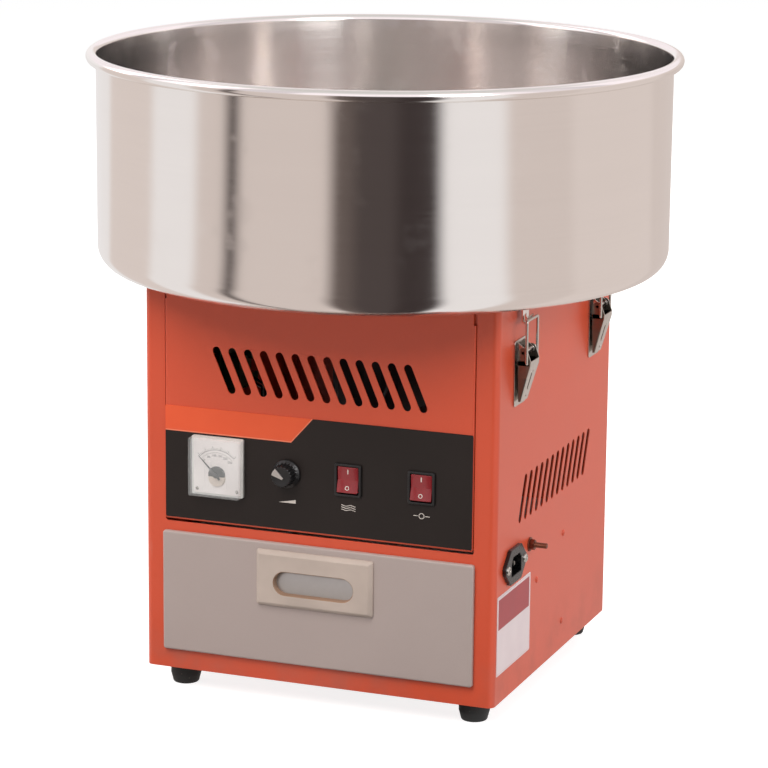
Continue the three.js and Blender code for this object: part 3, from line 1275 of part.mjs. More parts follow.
function flossBand() {
  const low = HEAD_FLOOR + TOUCH;
  const windows = [];
  for (let i = 0; i < BAND_WINDOWS / 2; i += 1) {
    windows.push(block(-HEAD_RADIUS, HEAD_RADIUS, -BAND_WINDOW_WIDTH / 2, BAND_WINDOW_WIDTH / 2,
      low + BAND_FRAME, low + BAND_HEIGHT - BAND_FRAME).rotateZ((i / BAND_WINDOWS) * 2 * Math.PI));
  }
  return cut(ring(BAND_RADIUS - BAND_WALL, BAND_RADIUS, low, low + BAND_HEIGHT, BAND_WINDOWS * 2), ...windows);
}

function headCover() {
  const neck = SUGAR_HOLE_RADIUS + COVER_WALL;
  const neckLow = COVER_Z + CONE_HEIGHT;
  const neckTop = neckLow + NECK_HEIGHT;
  const cone = turned([
    [HEAD_RADIUS, COVER_Z], [HEAD_RADIUS, COVER_Z + COVER_WALL], [CONE_RADIUS, COVER_Z + COVER_WALL],
    [neck + COVER_WALL, neckLow], [neck, neckTop - COVER_WALL], [neck + COVER_WALL / 2, neckTop],
    [SUGAR_HOLE_RADIUS, neckTop], [SUGAR_HOLE_RADIUS, neckLow - COVER_WALL],
    [CONE_RADIUS - COVER_WALL, COVER_Z], [HEAD_RADIUS, COVER_Z],
  ], BAND_WINDOWS * 2);
  const holes = STUD_PLACES.map(([x, y]) => disc(STUD_RADIUS + HOLE_GAP, x, y));
  return cut(cone, alongZ(holes, COVER_Z - 1, COVER_Z + COVER_WALL + 1));
}

const RING_LOW = HEAD_FLOOR + TOUCH;
spinner.add(part('head_base', headBase(), ALUMINIUM));
spinner.add(part('heating_ring', ring(HEATER_RADIUS - HEATER_WALL, HEATER_RADIUS, RING_LOW,
  RING_LOW + HEATER_HEIGHT, 20), DARK_PAINT));
spinner.add(part('floss_band', flossBand(), ALUMINIUM));
spinner.add(part('head_cover', headCover(), ALUMINIUM));
spinner.add(part('head_nut',
  ring(SHAFT_BORE, HEAD_NUT_RADIUS, RING_LOW, RING_LOW + HEAD_NUT_HEIGHT, 12), ZINC));

// Control board on the left wall: four stand-offs, a heat sink, a choke and a terminal block

const BOARD_FACE = -WALL_INSIDE + TOUCH + BOARD_STAND;
const BOARD_FRONT = BOARD_Y - BOARD_WIDTH / 2;
const BOARD_LOW = BOTTOM + BOARD_Z - BOARD_HEIGHT / 2;
const TERMINAL_FRONT = BOARD_FRONT + BOARD_WIDTH - COMPONENT_MARGIN - TERMINAL_WIDTH;
const TERMINAL_MIDDLE = TERMINAL_FRONT + TERMINAL_WIDTH / 2;

function controlBoard() {
  const stands = [0.1, 0.9].flatMap((i) => [0.12, 0.88].map((j) => alongX(
    disc(BOARD_STAND_RADIUS, BOARD_FRONT + i * BOARD_WIDTH, BOARD_LOW + j * BOARD_HEIGHT),
    BOARD_FACE - BOARD_STAND, BOARD_FACE + 0.5, 3)));
  const on = BOARD_FACE + BOARD_SHEET / 2;
  const sinkFront = BOARD_FRONT + COMPONENT_MARGIN;
  const sinkLow = BOARD_LOW + (BOARD_HEIGHT - SINK_HEIGHT) / 2;
  const chokeZ = BOARD_LOW + BOARD_HEIGHT - COMPONENT_MARGIN - CHOKE_RADIUS;
  return join(
    block(BOARD_FACE, BOARD_FACE + BOARD_SHEET, BOARD_FRONT, BOARD_FRONT + BOARD_WIDTH,
      BOARD_LOW, BOARD_LOW + BOARD_HEIGHT),
    block(on, on + SINK_DEPTH, sinkFront, sinkFront + SINK_WIDTH, sinkLow, sinkLow + SINK_HEIGHT),
    block(on, BOARD_FACE + TERMINAL_DEPTH, TERMINAL_FRONT, TERMINAL_FRONT + TERMINAL_WIDTH,
      BOARD_LOW + TERMINAL_SIZE / 2, BOARD_LOW + 1.5 * TERMINAL_SIZE),
    rod(CHOKE_RADIUS, 0, CHOKE_HEIGHT, 10).rotateY(Math.PI / 2).translate(on, TERMINAL_MIDDLE, chokeZ),
    ...stands);
}

housing.add(part('control_board', controlBoard(), GREEN_BOARD));

// Wiring loom: five wires that one cable tie holds together between inlet, switches, board and brushes

function wire(points) {
  const curve = new THREE.CatmullRomCurve3(points.map(([x, y, z]) => new THREE.Vector3(x, y, z)));
  const outline = [];
  for (let i = 0; i < 4; i += 1) {
    const angle = (i / 2 + 0.25) * Math.PI;
    outline.push([WIRE_RADIUS * Math.cos(angle), WIRE_RADIUS * Math.sin(angle)]);
  }
  return new THREE.ExtrudeGeometry(polygon(outline), { steps: 12, extrudePath: curve });
}

function wiringLoom() {
  const tie = [TIE_SIZE, FRONT + LOOM_DEPTH, CONTROL_HEIGHT - 2 * TIE_SIZE];
  const tabY = OVERLAY_FRONT + SWITCH_DEPTH + TAB_LENGTH + HOLE_GAP;
  const fromTab = (x, i, j) => {
    const [tx, tz] = [x + i * TAB_SPACING_X / 2, CONTROL_HEIGHT + j * TAB_SPACING_Z / 2];
    return [[tx, tabY, tz], [tx, tabY + TIE_SIZE, tz]];
  };
  const toTab = (x, i, j) => fromTab(x, i, j).reverse();
  const fromInlet = (y) => {
    const [ix, iz] = [HALF_WIDTH - INLET_DEPTH / 2, INLET_HEIGHT + INLET_HALF_HEIGHT + HOLE_GAP];
    return [[ix, INLET_Y + y, iz], [ix, INLET_Y + y, iz + TIE_SIZE], [ix - INLET_RUN, tie[1], tie[2]]];
  };
  const toBoard = (y) => {
    const [bx, bz] = [BOARD_FACE + TERMINAL_DEPTH + HOLE_GAP, BOARD_LOW + TERMINAL_SIZE];
    return [
      [-MOTOR_RADIUS - LOOM_MARGIN, tie[1] + 2 * LOOM_STEP, CONTROL_HEIGHT],
      [bx + TIE_SIZE, TERMINAL_MIDDLE + y, bz], [bx, TERMINAL_MIDDLE + y, bz],
    ];
  };
  const regulatorTab = [KNOB_X, OVERLAY_FRONT + BEHIND_PANEL + REGULATOR_DEPTH + TAB_LENGTH + HOLE_GAP,
    CONTROL_HEIGHT];
  const behindTab = [KNOB_X, regulatorTab[1] + TIE_SIZE, CONTROL_HEIGHT];
  const holderBack = HOLDER_FRONT + HOLDER_SIZE + AXIS_Y + HOLE_GAP;
  const middle = (PLATE_TOP + HUB_TOP) / 2;
  const past = HUB_FLANGE_RADIUS + BRUSH_RUN_MARGIN;
  const toBrushes = [
    [past, tie[1] + LOOM_STEP, CONTROL_HEIGHT + LOOM_RISE], [past, -BRACKET_DEPTH / 2, middle],
    [past, 0, middle], [past, holderBack + TIE_SIZE, middle],
    [HOLDER_X, holderBack + TIE_SIZE, middle], [HOLDER_X, holderBack, middle],
  ];
  const half = TIE_SIZE / 2;
  return join(
    block(tie[0] - half / 2, tie[0] + half / 2, tie[1] - half, tie[1] + half, tie[2] - half, tie[2] + half),
    wire([...fromInlet(-WIRE_SPREAD), tie, ...toTab(HEAT_SWITCH_X, 1, -1)]),
    wire([...fromInlet(WIRE_SPREAD), tie, ...toTab(MOTOR_SWITCH_X, -1, -1)]),
    wire([...fromTab(HEAT_SWITCH_X, -1, 1), tie, ...toBoard(-WIRE_SPREAD)]),
    wire([regulatorTab, behindTab, tie, ...toBoard(WIRE_SPREAD)]),
    wire([...fromTab(MOTOR_SWITCH_X, 1, 1), tie, ...toBrushes]));
}

housing.add(part('wiring_loom', wiringLoom(), BLACK_PLASTIC));

export default machine;
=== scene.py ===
# %% [markdown]
# # An electric floss machine
# The machine is a folded steel box with a spinning head on top, under a big loose bowl. Its construction
# comes from the imported frame, and this file gives every visible piece its form and finish.
# The frame is loaded first, and its box is kept. Its box is kept, because the finished looks have to
# stay inside it.

# %% Load the frame
import math

import bmesh
import bpy
import numpy as np
from mathutils import Matrix, Vector


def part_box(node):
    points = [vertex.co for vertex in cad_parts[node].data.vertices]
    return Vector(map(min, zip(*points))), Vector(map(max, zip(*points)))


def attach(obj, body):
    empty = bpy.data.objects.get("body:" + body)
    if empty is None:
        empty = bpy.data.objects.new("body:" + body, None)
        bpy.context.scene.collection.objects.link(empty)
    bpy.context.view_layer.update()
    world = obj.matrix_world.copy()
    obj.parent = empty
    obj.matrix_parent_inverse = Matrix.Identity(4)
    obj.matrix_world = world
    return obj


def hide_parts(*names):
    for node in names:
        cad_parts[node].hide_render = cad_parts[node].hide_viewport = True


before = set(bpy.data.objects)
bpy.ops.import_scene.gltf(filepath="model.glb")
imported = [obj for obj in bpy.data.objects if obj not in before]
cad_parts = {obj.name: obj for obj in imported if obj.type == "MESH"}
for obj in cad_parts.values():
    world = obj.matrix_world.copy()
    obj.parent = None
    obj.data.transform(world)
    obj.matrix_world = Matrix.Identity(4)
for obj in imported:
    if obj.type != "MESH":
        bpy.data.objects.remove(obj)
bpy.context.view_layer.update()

# %% [markdown]
# Sizes are metres in Blender, but a maker thinks in millimetres, so a length is written as 12 * MM, and a
# whole profile goes through in_mm.
# The axis of bowl and head is the origin, and the middle of the housing lies a little behind it.

# %% Units and places
MM = 0.001
FULL = 2 * math.pi


def in_mm(rows):
    """Rows of numbers that were written in millimetres, as an array in metres."""
    return np.array(rows, float) * MM


def box_of(node):
    """Lowest and highest corner of a node as two arrays."""
    low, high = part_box(node)
    return np.array(low), np.array(high)


shell_low, shell_high = box_of("housing_shell")
panel_low, panel_high = box_of("front_panel")
overlay_low, overlay_high = box_of("control_overlay")
bowl_high = box_of("bowl")[1]
print("housing:", np.round((shell_high - shell_low) / MM, 1), "mm")

# %% [markdown]
# ## Surfaces from formulas
# A new piece is a grid of points worked out by numpy: one parameter runs along the rows and one along
# the columns. The grid becomes quads in one step. A row or column can close on itself, and an end can
# be capped, so rings, tubes, domes and rounded boxes all come from the same helper.

# %% Grid to mesh
def linked(name, data):
    """A new object in the scene, with its data."""
    made = bpy.data.objects.new(name, data)
    bpy.context.scene.collection.objects.link(made)
    return made


def finish_mesh(name, mesh, smooth=40):
    """Makes an object of a mesh: doubles merged, faces outwards, edges sharper than the angle kept hard."""
    work = bmesh.new()
    work.from_mesh(mesh)
    bmesh.ops.remove_doubles(work, verts=work.verts, dist=1e-6)
    bmesh.ops.dissolve_degenerate(work, edges=work.edges, dist=1e-7)
    bmesh.ops.recalc_face_normals(work, faces=work.faces)
    work.to_mesh(mesh)
    work.free()
    mesh.polygons.foreach_set("use_smooth", np.ones(len(mesh.polygons), bool))
    mesh.set_sharp_from_angle(angle=math.radians(smooth))
    return linked(name, mesh)


def grid_faces(rows, columns, close_rows, close_columns):
    """Quads between neighbouring points; a closed direction also joins its last line to its first."""
    i = np.arange(rows if close_rows else rows - 1)[:, None]
    j = np.arange(columns if close_columns else columns - 1)[None, :]
    after_i, after_j = (i + 1) % rows, (j + 1) % columns
    corners = [i * columns + j, after_i * columns + j, after_i * columns + after_j, i * columns + after_j]
    return np.stack([np.broadcast_to(c, (i.size, j.size)).ravel() for c in corners], axis=1)


def surface(name, points, close_rows=False, close_columns=False, caps=False, smooth=40):
    """A piece from a grid of points, shaped rows by columns by 3; caps closes the first and last row."""
    rows, columns = points.shape[:2]
    faces = grid_faces(rows, columns, close_rows, close_columns).tolist()
    if caps:
        faces.append(list(range(columns)))
        faces.append(list(range((rows - 1) * columns, rows * columns)))
    mesh = bpy.data.meshes.new(name)
    mesh.from_pydata(points.reshape(-1, 3), [], faces)
    return finish_mesh(name, mesh, smooth)


def joined(name, *parts):
    """One piece from several: their meshes share one object."""
    work = bmesh.new()
    for part in parts:
        work.from_mesh(part.data)
        bpy.data.objects.remove(part)
    mesh = bpy.data.meshes.new(name)
    work.to_mesh(mesh)
    work.free()
    return linked(name, mesh)


def placed(piece, matrix):
    """Moves a piece by changing its mesh, so that its object stays at the origin."""
    piece.data.transform(matrix)
    if matrix.determinant() < 0:
        piece.data.flip_normals()
    return piece


def moved(piece, x=0.0, y=0.0, z=0.0):
    """Moves a piece along the axes, in its mesh."""
    return placed(piece, Matrix.Translation((x, y, z)))


print("helpers: linked, finish_mesh, surface, joined, placed, moved")

# %% [markdown]
# Much of the machine is turned on a lathe or drawn from round blanks: the bowl, the head, the knob,
# the feet and every screw. A turned piece is its profile, radius and height, carried round the axis.

# %% Turned pieces
def round_points(radius, height, angle):
    """(r cos a, r sin a, h) for arrays of radius, height and angle that fill each other's gaps."""
    return np.stack(np.broadcast_arrays(radius * np.cos(angle), radius * np.sin(angle), height), axis=2)


def turned(name, profile, segments=64, closed=False, smooth=35):
    """x = r cos a, y = r sin a, z = h for each point (r, h) of the profile and each angle a."""
    radius, height = np.array(profile, float).T
    angle = np.linspace(0, FULL, segments, endpoint=False)
    radius, height = radius[:, None], height[:, None]
    return surface(name, round_points(radius, height, angle), closed, True, smooth=smooth)


def arc(x, y, radius, start, end, steps=8):
    """Points of an arc round (x, y), from one angle to another in degrees."""
    angle = np.radians(np.linspace(start, end, steps + 1))
    return np.stack([x + radius * np.cos(angle), y + radius * np.sin(angle)], axis=1)


def layers(name, loop, profile, smooth=35, caps=True):
    """Row i is loop(inset_i) at height z_i, for each (inset, z) of the profile; caps closes both ends."""
    rows = [np.column_stack([loop(inset), np.full(len(loop(inset)), height)]) for inset, height in profile]
    return surface(name, np.array(rows), close_columns=True, caps=caps, smooth=smooth)


def bar(name, section, half, middle=0.0, round_off=0.3, smooth=30):
    """A section in (y, z) carried along x from middle - half to middle + half, with its ends rounded off."""
    section = np.array(section, float)
    centre = (section.min(axis=0) + section.max(axis=0)) / 2
    size = (section.max(axis=0) - section.min(axis=0)) / 2
    t = np.array([0, 0.3, 1.0])
    inset = round_off * MM * np.concatenate([(1 - t) ** 2, (1 - t[::-1]) ** 2])
    x = np.concatenate([-half + t * round_off * MM, half - t[::-1] * round_off * MM]) + middle
    scale = 1 - inset[:, None, None] / size
    flat = centre + (section[None] - centre) * scale
    points = np.concatenate([np.broadcast_to(x[:, None, None], (*flat.shape[:2], 1)), flat], axis=2)
    return surface(name, points, close_columns=True, caps=True, smooth=smooth)


def rounded_path(corners, radius, steps=6):
    """Rounds each inner corner C: (1 - t)^2 A + 2 t (1 - t) C + t^2 B, with A and B a radius from it."""
    corners = np.array(corners, float)
    t = np.linspace(0, 1, steps + 1)[:, None]
    parts = [corners[:1]]
    for before, corner, after in zip(corners, corners[1:], corners[2:]):
        first = corner + (before - corner) * radius / np.linalg.norm(before - corner)
        last = corner + (after - corner) * radius / np.linalg.norm(after - corner)
        parts.append((1 - t) ** 2 * first + 2 * t * (1 - t) * corner + t ** 2 * last)
    return np.concatenate([*parts, corners[-1:]])


def normals_of(path):
    """The unit normal (-y', x') at each point of a flat path."""
    ahead = np.gradient(path, axis=0)
    return np.stack([-ahead[:, 1], ahead[:, 0]], axis=1) / np.linalg.norm(ahead, axis=1)[:, None]


def strip_section(path, sheet):
    """Outline of a bent strip: the path moved half a sheet to each side along its normal."""
    normal = normals_of(path)
    return np.concatenate([path + normal * sheet / 2, (path - normal * sheet / 2)[::-1]])


def wire(name, path, radius, segments=16):
    """A round wire along a flat path in (x, y): p + r (cos a n + sin a z), with n the path's normal."""
    normal = normals_of(path)
    angle = np.linspace(0, FULL, segments, endpoint=False)
    flat = path[:, None, :] + radius * np.cos(angle)[None, :, None] * normal[:, None, :]
    lift = np.broadcast_to(radius * np.sin(angle)[None, :, None], (*flat.shape[:2], 1))
    return surface(name, np.concatenate([flat, lift], axis=2), close_columns=True, caps=True)


def rows_of(collection, key):
    """One vector of every vertex or face, as rows of an array."""
    values = np.empty(len(collection) * 3)
    collection.foreach_get(key, values)
    return values.reshape(-1, 3)


def repeated(name, piece, matrices):
    """One piece of many copies: every matrix is applied to all the points at once."""
    points = rows_of(piece.data.vertices, "co")
    points = np.column_stack([points, np.ones(len(points))])
    many = np.einsum("mij,vj->mvi", np.array(matrices, float), points)[..., :3].reshape(-1, 3)
    faces = [
        [corner + copy * len(points) for corner in face.vertices]
        for copy in range(len(matrices)) for face in piece.data.polygons]
    bpy.data.objects.remove(piece)
    mesh = bpy.data.meshes.new(name)
    mesh.from_pydata(many, [], faces)
    return finish_mesh(name, mesh, 30)


print("helpers: turned, arc, layers, bar, rounded_path, strip_section, wire, rows_of, repeated")

# %% [markdown]
# Sheet metal starts as a flat blank that is punched and then folded. A blank here is a flat Blender
# curve: its outer loop and its holes fill themselves, extrude gives the sheet, and a small bevel breaks
# the punched edges. Bending comes later, by moving the blank's points along a folded path.

# %% Flat blanks with punched holes
def mesh_of(curve):
    """The mesh that a curve or a text makes; the curve is used up."""
    source = linked(curve.name, curve)
    made = bpy.data.meshes.new_from_object(source.evaluated_get(bpy.context.evaluated_depsgraph_get()))
    bpy.data.objects.remove(source)
    bpy.data.curves.remove(curve)
    return made


def rectangle(left, low, right, high, radius=0.0, steps=5):
    """Loop of a rectangle, with its corners rounded if a radius is given."""
    if radius <= 0:
        return np.array([[left, low], [right, low], [right, high], [left, high]])
    return np.concatenate([
        arc(right - radius, low + radius, radius, -90, 0, steps),
        arc(right - radius, high - radius, radius, 0, 90, steps),
        arc(left + radius, high - radius, radius, 90, 180, steps),
        arc(left + radius, low + radius, radius, 180, 270, steps),
    ])


def circle(x, y, radius, steps=24):
    """Loop of a circle round (x, y)."""
    return arc(x, y, radius, 0, 360, steps)[:-1]


def leaning_slot(x, y, height, width, lean, steps=6):
    """Loop of a slot with round ends, whose upper end stands lean to the right of its lower end."""
    reach = (height - width) / 2
    tilt = math.degrees(math.atan2(2 * reach, lean))
    upper = arc(x + lean / 2, y + reach, width / 2, tilt - 90, tilt + 90, steps)
    lower = arc(x - lean / 2, y - reach, width / 2, tilt + 90, tilt + 270, steps)
    return np.concatenate([upper, lower])


def blank(name, outline, holes=(), sheet=1.2 * MM, edge=0.2 * MM):
    """A flat sheet in the XY plane with its back face on z = 0 and its front face on z = sheet."""
    curve = bpy.data.curves.new(name, "CURVE")
    curve.dimensions = "2D"
    curve.fill_mode = "BOTH"
    curve.extrude = sheet / 2 - edge
    curve.bevel_depth = edge
    curve.bevel_resolution = 1
    curve.offset = -edge
    for loop in (outline, *holes):
        spline = curve.splines.new("POLY")
        spline.points.add(len(loop) - 1)
        flat = np.concatenate([loop, np.zeros((len(loop), 1)), np.ones((len(loop), 1))], axis=1)
        spline.points.foreach_set("co", flat.ravel())
        spline.use_cyclic_u = True
    return moved(finish_mesh(name, mesh_of(curve), smooth=20), z=sheet / 2)


print("helpers: mesh_of, rectangle, circle, leaning_slot, blank")

# %% [markdown]
# ## Shader maths as expressions
# A finish is mostly arithmetic on patterns: more of this, less of that, sharper here. Value wraps a
# socket so that such arithmetic reads as Python, and each operator adds its Math node. Recipe holds a
# material or a world that is being made, and its node method adds any other node.

# %% Value and Recipe
class Value:
    """A shader value in an expression. Operators add Math nodes; plain numbers stay plain."""

    def __init__(self, recipe, socket):
        self.recipe, self.socket = recipe, socket

    def math(self, operation, first, second=0.0, clamp=False):
        """One Math node; clamp holds its result between 0 and 1."""
        return self.recipe.node("ShaderNodeMath", {"operation": operation, "use_clamp": clamp},
                                {0: first, 1: second})

    def __add__(self, other):
        return self.math("ADD", self, other)

    def __sub__(self, other):
        return self.math("SUBTRACT", self, other)

    def __rsub__(self, other):
        return self.math("SUBTRACT", other, self)

    def __mul__(self, other):
        return self.math("MULTIPLY", self, other)

    def __pow__(self, other):
        return self.math("POWER", self, other)

    __radd__ = __add__
    __rmul__ = __mul__

    def size(self):
        """The value without its sign."""
        return self.math("ABSOLUTE", self)

    def held(self):
        """The value held between 0 and 1."""
        return self.math("ADD", self, 0.0, clamp=True)

    def most(self, other):
        """The larger of two."""
        return self.math("MAXIMUM", self, other)

    def least(self, other):
        """The smaller of two."""
        return self.math("MINIMUM", self, other)

    def step(self, start, end):
        """0 below start, 1 above end, and a smooth step between them."""
        return self.recipe.node("ShaderNodeMapRange", {"interpolation_type": "SMOOTHSTEP"},
                                {"Value": self, "From Min": start, "From Max": end})


class Recipe:
    """A material, or a world, being made; its methods give patterns as Values."""

    def __init__(self, name, owner=None):
        self.owner = owner or bpy.data.materials.new(name)
        self.owner.use_nodes = True
        self.tree = self.owner.node_tree
        self.spot = None

    def node(self, kind, settings=(), inputs=(), output=0):
        """Adds a node: its settings first, then the values or links of its sockets; returns one output."""
        made = self.tree.nodes.new(kind)
        for key, value in dict(settings).items():
            if key == "stops":
                self.set_stops(made.color_ramp, value)
            else:
                setattr(made, key, value)
        for key, value in dict(inputs).items():
            if isinstance(value, Value):
                self.tree.links.new(value.socket, made.inputs[key])
            else:
                made.inputs[key].default_value = value
        return Value(self, made.outputs[output])

    @staticmethod
    def set_stops(ramp, stops):
        """Puts the colours of a ramp at their positions, which rise from the first to the last."""
        ramp.elements.remove(ramp.elements[-1])
        ramp.elements[0].position, ramp.elements[0].color = stops[0]
        for position, colour in stops[1:]:
            ramp.elements.new(position).color = colour

    def place(self):
        """The point on the piece, in metres from the object's origin."""
        if self.spot is None:
            self.spot = self.node("ShaderNodeTexCoord", output="Object")
        return self.spot

    def axes(self, vector=None):
        """The x, y and z of the point, or of another vector, as three Values."""
        split = self.node("ShaderNodeSeparateXYZ", inputs={0: vector or self.place()}).socket.node
        return [Value(self, output) for output in split.outputs]

    def stretched(self, x=1.0, y=1.0, z=1.0):
        """The point with its axes scaled, for patterns that run along one of them."""
        return self.node("ShaderNodeMapping", inputs={"Vector": self.place(), "Scale": (x, y, z)})

    def noise(self, scale, detail=2.0, roughness=0.5, place=None):
        """Soft noise from 0 to 1; scale is in patches per metre."""
        return self.node("ShaderNodeTexNoise", inputs={
            "Vector": place or self.place(), "Scale": scale, "Detail": detail, "Roughness": roughness})

    def cells(self, scale):
        """Distance to the nearest point of a scattered set."""
        return self.node("ShaderNodeTexVoronoi", inputs={"Vector": self.place(), "Scale": scale})

    def mix(self, amount, first, second):
        """A colour between two, by amount."""
        names = {"Factor": amount, 6: first, 7: second}
        return self.node("ShaderNodeMix", {"data_type": "RGBA"}, names, output=2)

    def bump(self, height, distance, strength=1.0):
        """A bumped normal; distance is the real height of a full step, in metres."""
        return self.node("ShaderNodeBump", inputs={
            "Height": height, "Distance": distance, "Strength": strength})

    def rays(self, kind):
        """1 for one kind of ray, such as Camera or Glossy, and 0 for the others."""
        return self.node("ShaderNodeLightPath", output=f"Is {kind} Ray")

    def join(self, value, node, key):
        """Gives a socket of one of the tree's own nodes a value or a link."""
        socket = self.tree.nodes[node].inputs[key]
        if isinstance(value, Value):
            self.tree.links.new(value.socket, socket)
        else:
            socket.default_value = value

    def done(self, **sockets):
        """Sets the sockets of the Principled shader, named with _ for a space, and gives the material."""
        for key, value in sockets.items():
            self.join(value, "Principled BSDF", key.replace("_", " "))
        return self.owner


def shade(red, green, blue):
    """A colour as a paint chart gives it, 0 to 255, made linear for the shader: ((c + a) / b) to the 2.4."""
    linear = [((c / 255 + 0.055) / 1.055) ** 2.4 if c > 10 else c / 255 / 12.92 for c in (red, green, blue)]
    return (*linear, 1.0)


print("helpers: Value, Recipe, shade")

# %% [markdown]
# ## Camera, floor and light
# The camera stands where the photographer stood, a long way off with a long lens, a little above the
# machine and to its right. Its place was found by fitting the housing's corners.

# %% Camera
CAMERA_PLACE = Vector((1.0338, -2.6851, 0.931))
CAMERA_TURN = math.radians(21.02)
CAMERA_DIP = math.radians(13.2)
CAMERA_ROLL = math.radians(0.55)
FOCAL_PIXELS = 3316.7
FRAME_PIXELS = 768
SENSOR = 36.0

camera = linked("camera", bpy.data.cameras.new("camera"))
camera.data.sensor_width = SENSOR
camera.data.lens = FOCAL_PIXELS / FRAME_PIXELS * SENSOR
camera.data.clip_end = 50
ahead = Vector((
    -math.sin(CAMERA_TURN) * math.cos(CAMERA_DIP), math.cos(CAMERA_TURN) * math.cos(CAMERA_DIP),
    -math.sin(CAMERA_DIP)))
level_right = Vector((math.cos(CAMERA_TURN), math.sin(CAMERA_TURN), 0))
level_up = level_right.cross(ahead)
right = level_right * math.cos(CAMERA_ROLL) + level_up * math.sin(CAMERA_ROLL)
up = level_up * math.cos(CAMERA_ROLL) - level_right * math.sin(CAMERA_ROLL)
camera.matrix_world = Matrix.Translation(CAMERA_PLACE) @ Matrix(
    (right, up, -ahead)).transposed().to_4x4()
bpy.context.scene.camera = camera
bpy.context.scene.view_settings.view_transform = "Standard"
print("camera:", round(camera.data.lens, 1), "mm lens at", tuple(round(v, 2) for v in CAMERA_PLACE))

# %% [markdown]
# The studio is a white floor that runs out of sight and a white surround. Polished steel is mostly a
# picture of its surround, so the surround has what such a bowl is shot between. Low down, and on the floor,
# stand tall pale and dark flags, which the bowl's outer wall shows. Above them hang bright screens, which
# its inner wall shows, and a plain grey ceiling. Flags and screens go by the compass direction, so their
# edges stand upright in the wall. Only polished metal sees them: the camera sees white, and matt things are
# lit by an even grey.

# %% Flags and screens
WHITE, BLACK, CEILING = (1.0, 1.0, 1.0, 1.0), (0.0, 0.0, 0.0, 1.0), (0.72, 0.70, 0.69, 1.0)
SURROUND_GREY = (0.3, 0.3, 0.3, 1.0)
FLAG_EDGE = 0.007

# Each flag: where it starts, in degrees round from the camera's own direction, and how bright it is.
BEIGE, PALE, BRIGHT = (0.73, 0.64, 0.60), (0.79, 0.70, 0.66), (0.93, 0.90, 0.895)
MIDDLE, DIM, DARK = (0.137, 0.108, 0.098), (0.082, 0.065, 0.062), (0.05, 0.038, 0.037)
FLAGS = [
    (-180, BRIGHT), (-135, PALE), (-100, BRIGHT), (-75.5, BEIGE), (-61.5, DARK), (-56.5, BEIGE),
    (-19.5, MIDDLE), (-11, DIM), (5, DARK), (21, BRIGHT), (47, BEIGE), (76, PALE), (128, BEIGE),
]

# Each screen: where it starts, and its share of the screens' light.
SCREEN_LIGHT = (2.1, 1.95, 2.02, 1.0)
SCREENS = [(angle, (share, share, share)) for angle, share in (
    (-180, 0.48), (-135, 0.95), (-115, 0.36), (-98, 0.62), (-86, 0.86), (-66, 0.36), (-35, 0.52), (22, 0.9),
    (41, 0.48), (60, 0.4), (80, 0.36), (95, 0.52), (120, 0.48))]


def stops_of(flags):
    """Stops of a ramp round the horizon: each flag holds its shade, then gives way within a few degrees."""
    towards_camera = math.degrees(math.atan2(CAMERA_PLACE.y, CAMERA_PLACE.x))
    turns = sorted(((angle + towards_camera + 180) % 360 / 360, colour) for angle, colour in flags)
    before = turns[-1][1]
    stops = [(0.0, (*before, 1.0))]
    for place, colour in turns:
        stops.append((max(place - FLAG_EDGE, 0.0), (*before, 1.0)))
        stops.append((min(place + FLAG_EDGE, 1.0), (*colour, 1.0)))
        before = colour
    return stops


def round_horizon(recipe, east, north, flags):
    """The flags' colour in a compass direction: their ramp at atan2(north, east) / 2 pi + 1/2."""
    turn = recipe.node("ShaderNodeMath", {"operation": "ARCTAN2"}, {0: north, 1: east}) * (1 / FULL) + 0.5
    return recipe.node("ShaderNodeValToRGB", {"stops": stops_of(flags)}, {0: turn})


print("studio:", len(FLAGS), "flags and", len(SCREENS), "screens")

# %% [markdown]
# A world's colour may depend on the ray that asks for it, which Light Path tells. The point of a world is the
# direction of that ray, one unit long, so its z is the sine of the angle above the horizon.

# %% Surround
def surround():
    """Height is the sine of the way up: flags below, screens from a tenth, ceiling from six tenths."""
    world = bpy.data.worlds.new("studio")
    bpy.context.scene.world = world
    studio = Recipe("studio", world)
    east, north, height = studio.axes(studio.node("ShaderNodeTexCoord", output="Generated"))
    flags = round_horizon(studio, east, north, FLAGS)
    screens = studio.mix(round_horizon(studio, east, north, SCREENS), BLACK, SCREEN_LIGHT)
    sides = studio.mix(height.step(0.1, 0.2), flags, screens)
    banded = studio.mix(height.step(0.6, 0.95), sides, CEILING)
    seen = studio.rays("Camera").most(studio.rays("Transmission"))
    shown = studio.mix(seen, studio.mix(studio.rays("Glossy"), SURROUND_GREY, banded), WHITE)
    studio.join(shown, "Background", "Color")


surround()
print("surround:", bpy.context.scene.world.name)

# %% [markdown]
# Five big soft lamps light the matt things from all sides, and polished metal doesn't show them. A sixth is
# the other way round: only polished metal shows it, as the streaks inside the bowl.

# %% Lamps and floor
MACHINE_MIDDLE = Vector((0.0, 0.0, 0.28))
FLOOR_GLOW, FLAGS_ON_FLOOR = (0.84, 0.84, 0.84, 1.0), 0.92


def softbox(name, place, width, height, power, colour=(1, 1, 1), mirrored=False):
    """A rectangular lamp that looks at the machine. It shows in polished metal or lights matt things."""
    lamp = bpy.data.lights.new(name, "AREA")
    lamp.shape = "RECTANGLE"
    lamp.size, lamp.size_y, lamp.energy, lamp.color = width, height, power, colour
    stand = linked(name, lamp)
    stand.location = place
    stand.rotation_euler = (MACHINE_MIDDLE - Vector(place)).to_track_quat("-Z", "Y").to_euler()
    stand.visible_glossy = mirrored
    stand.visible_diffuse = not mirrored


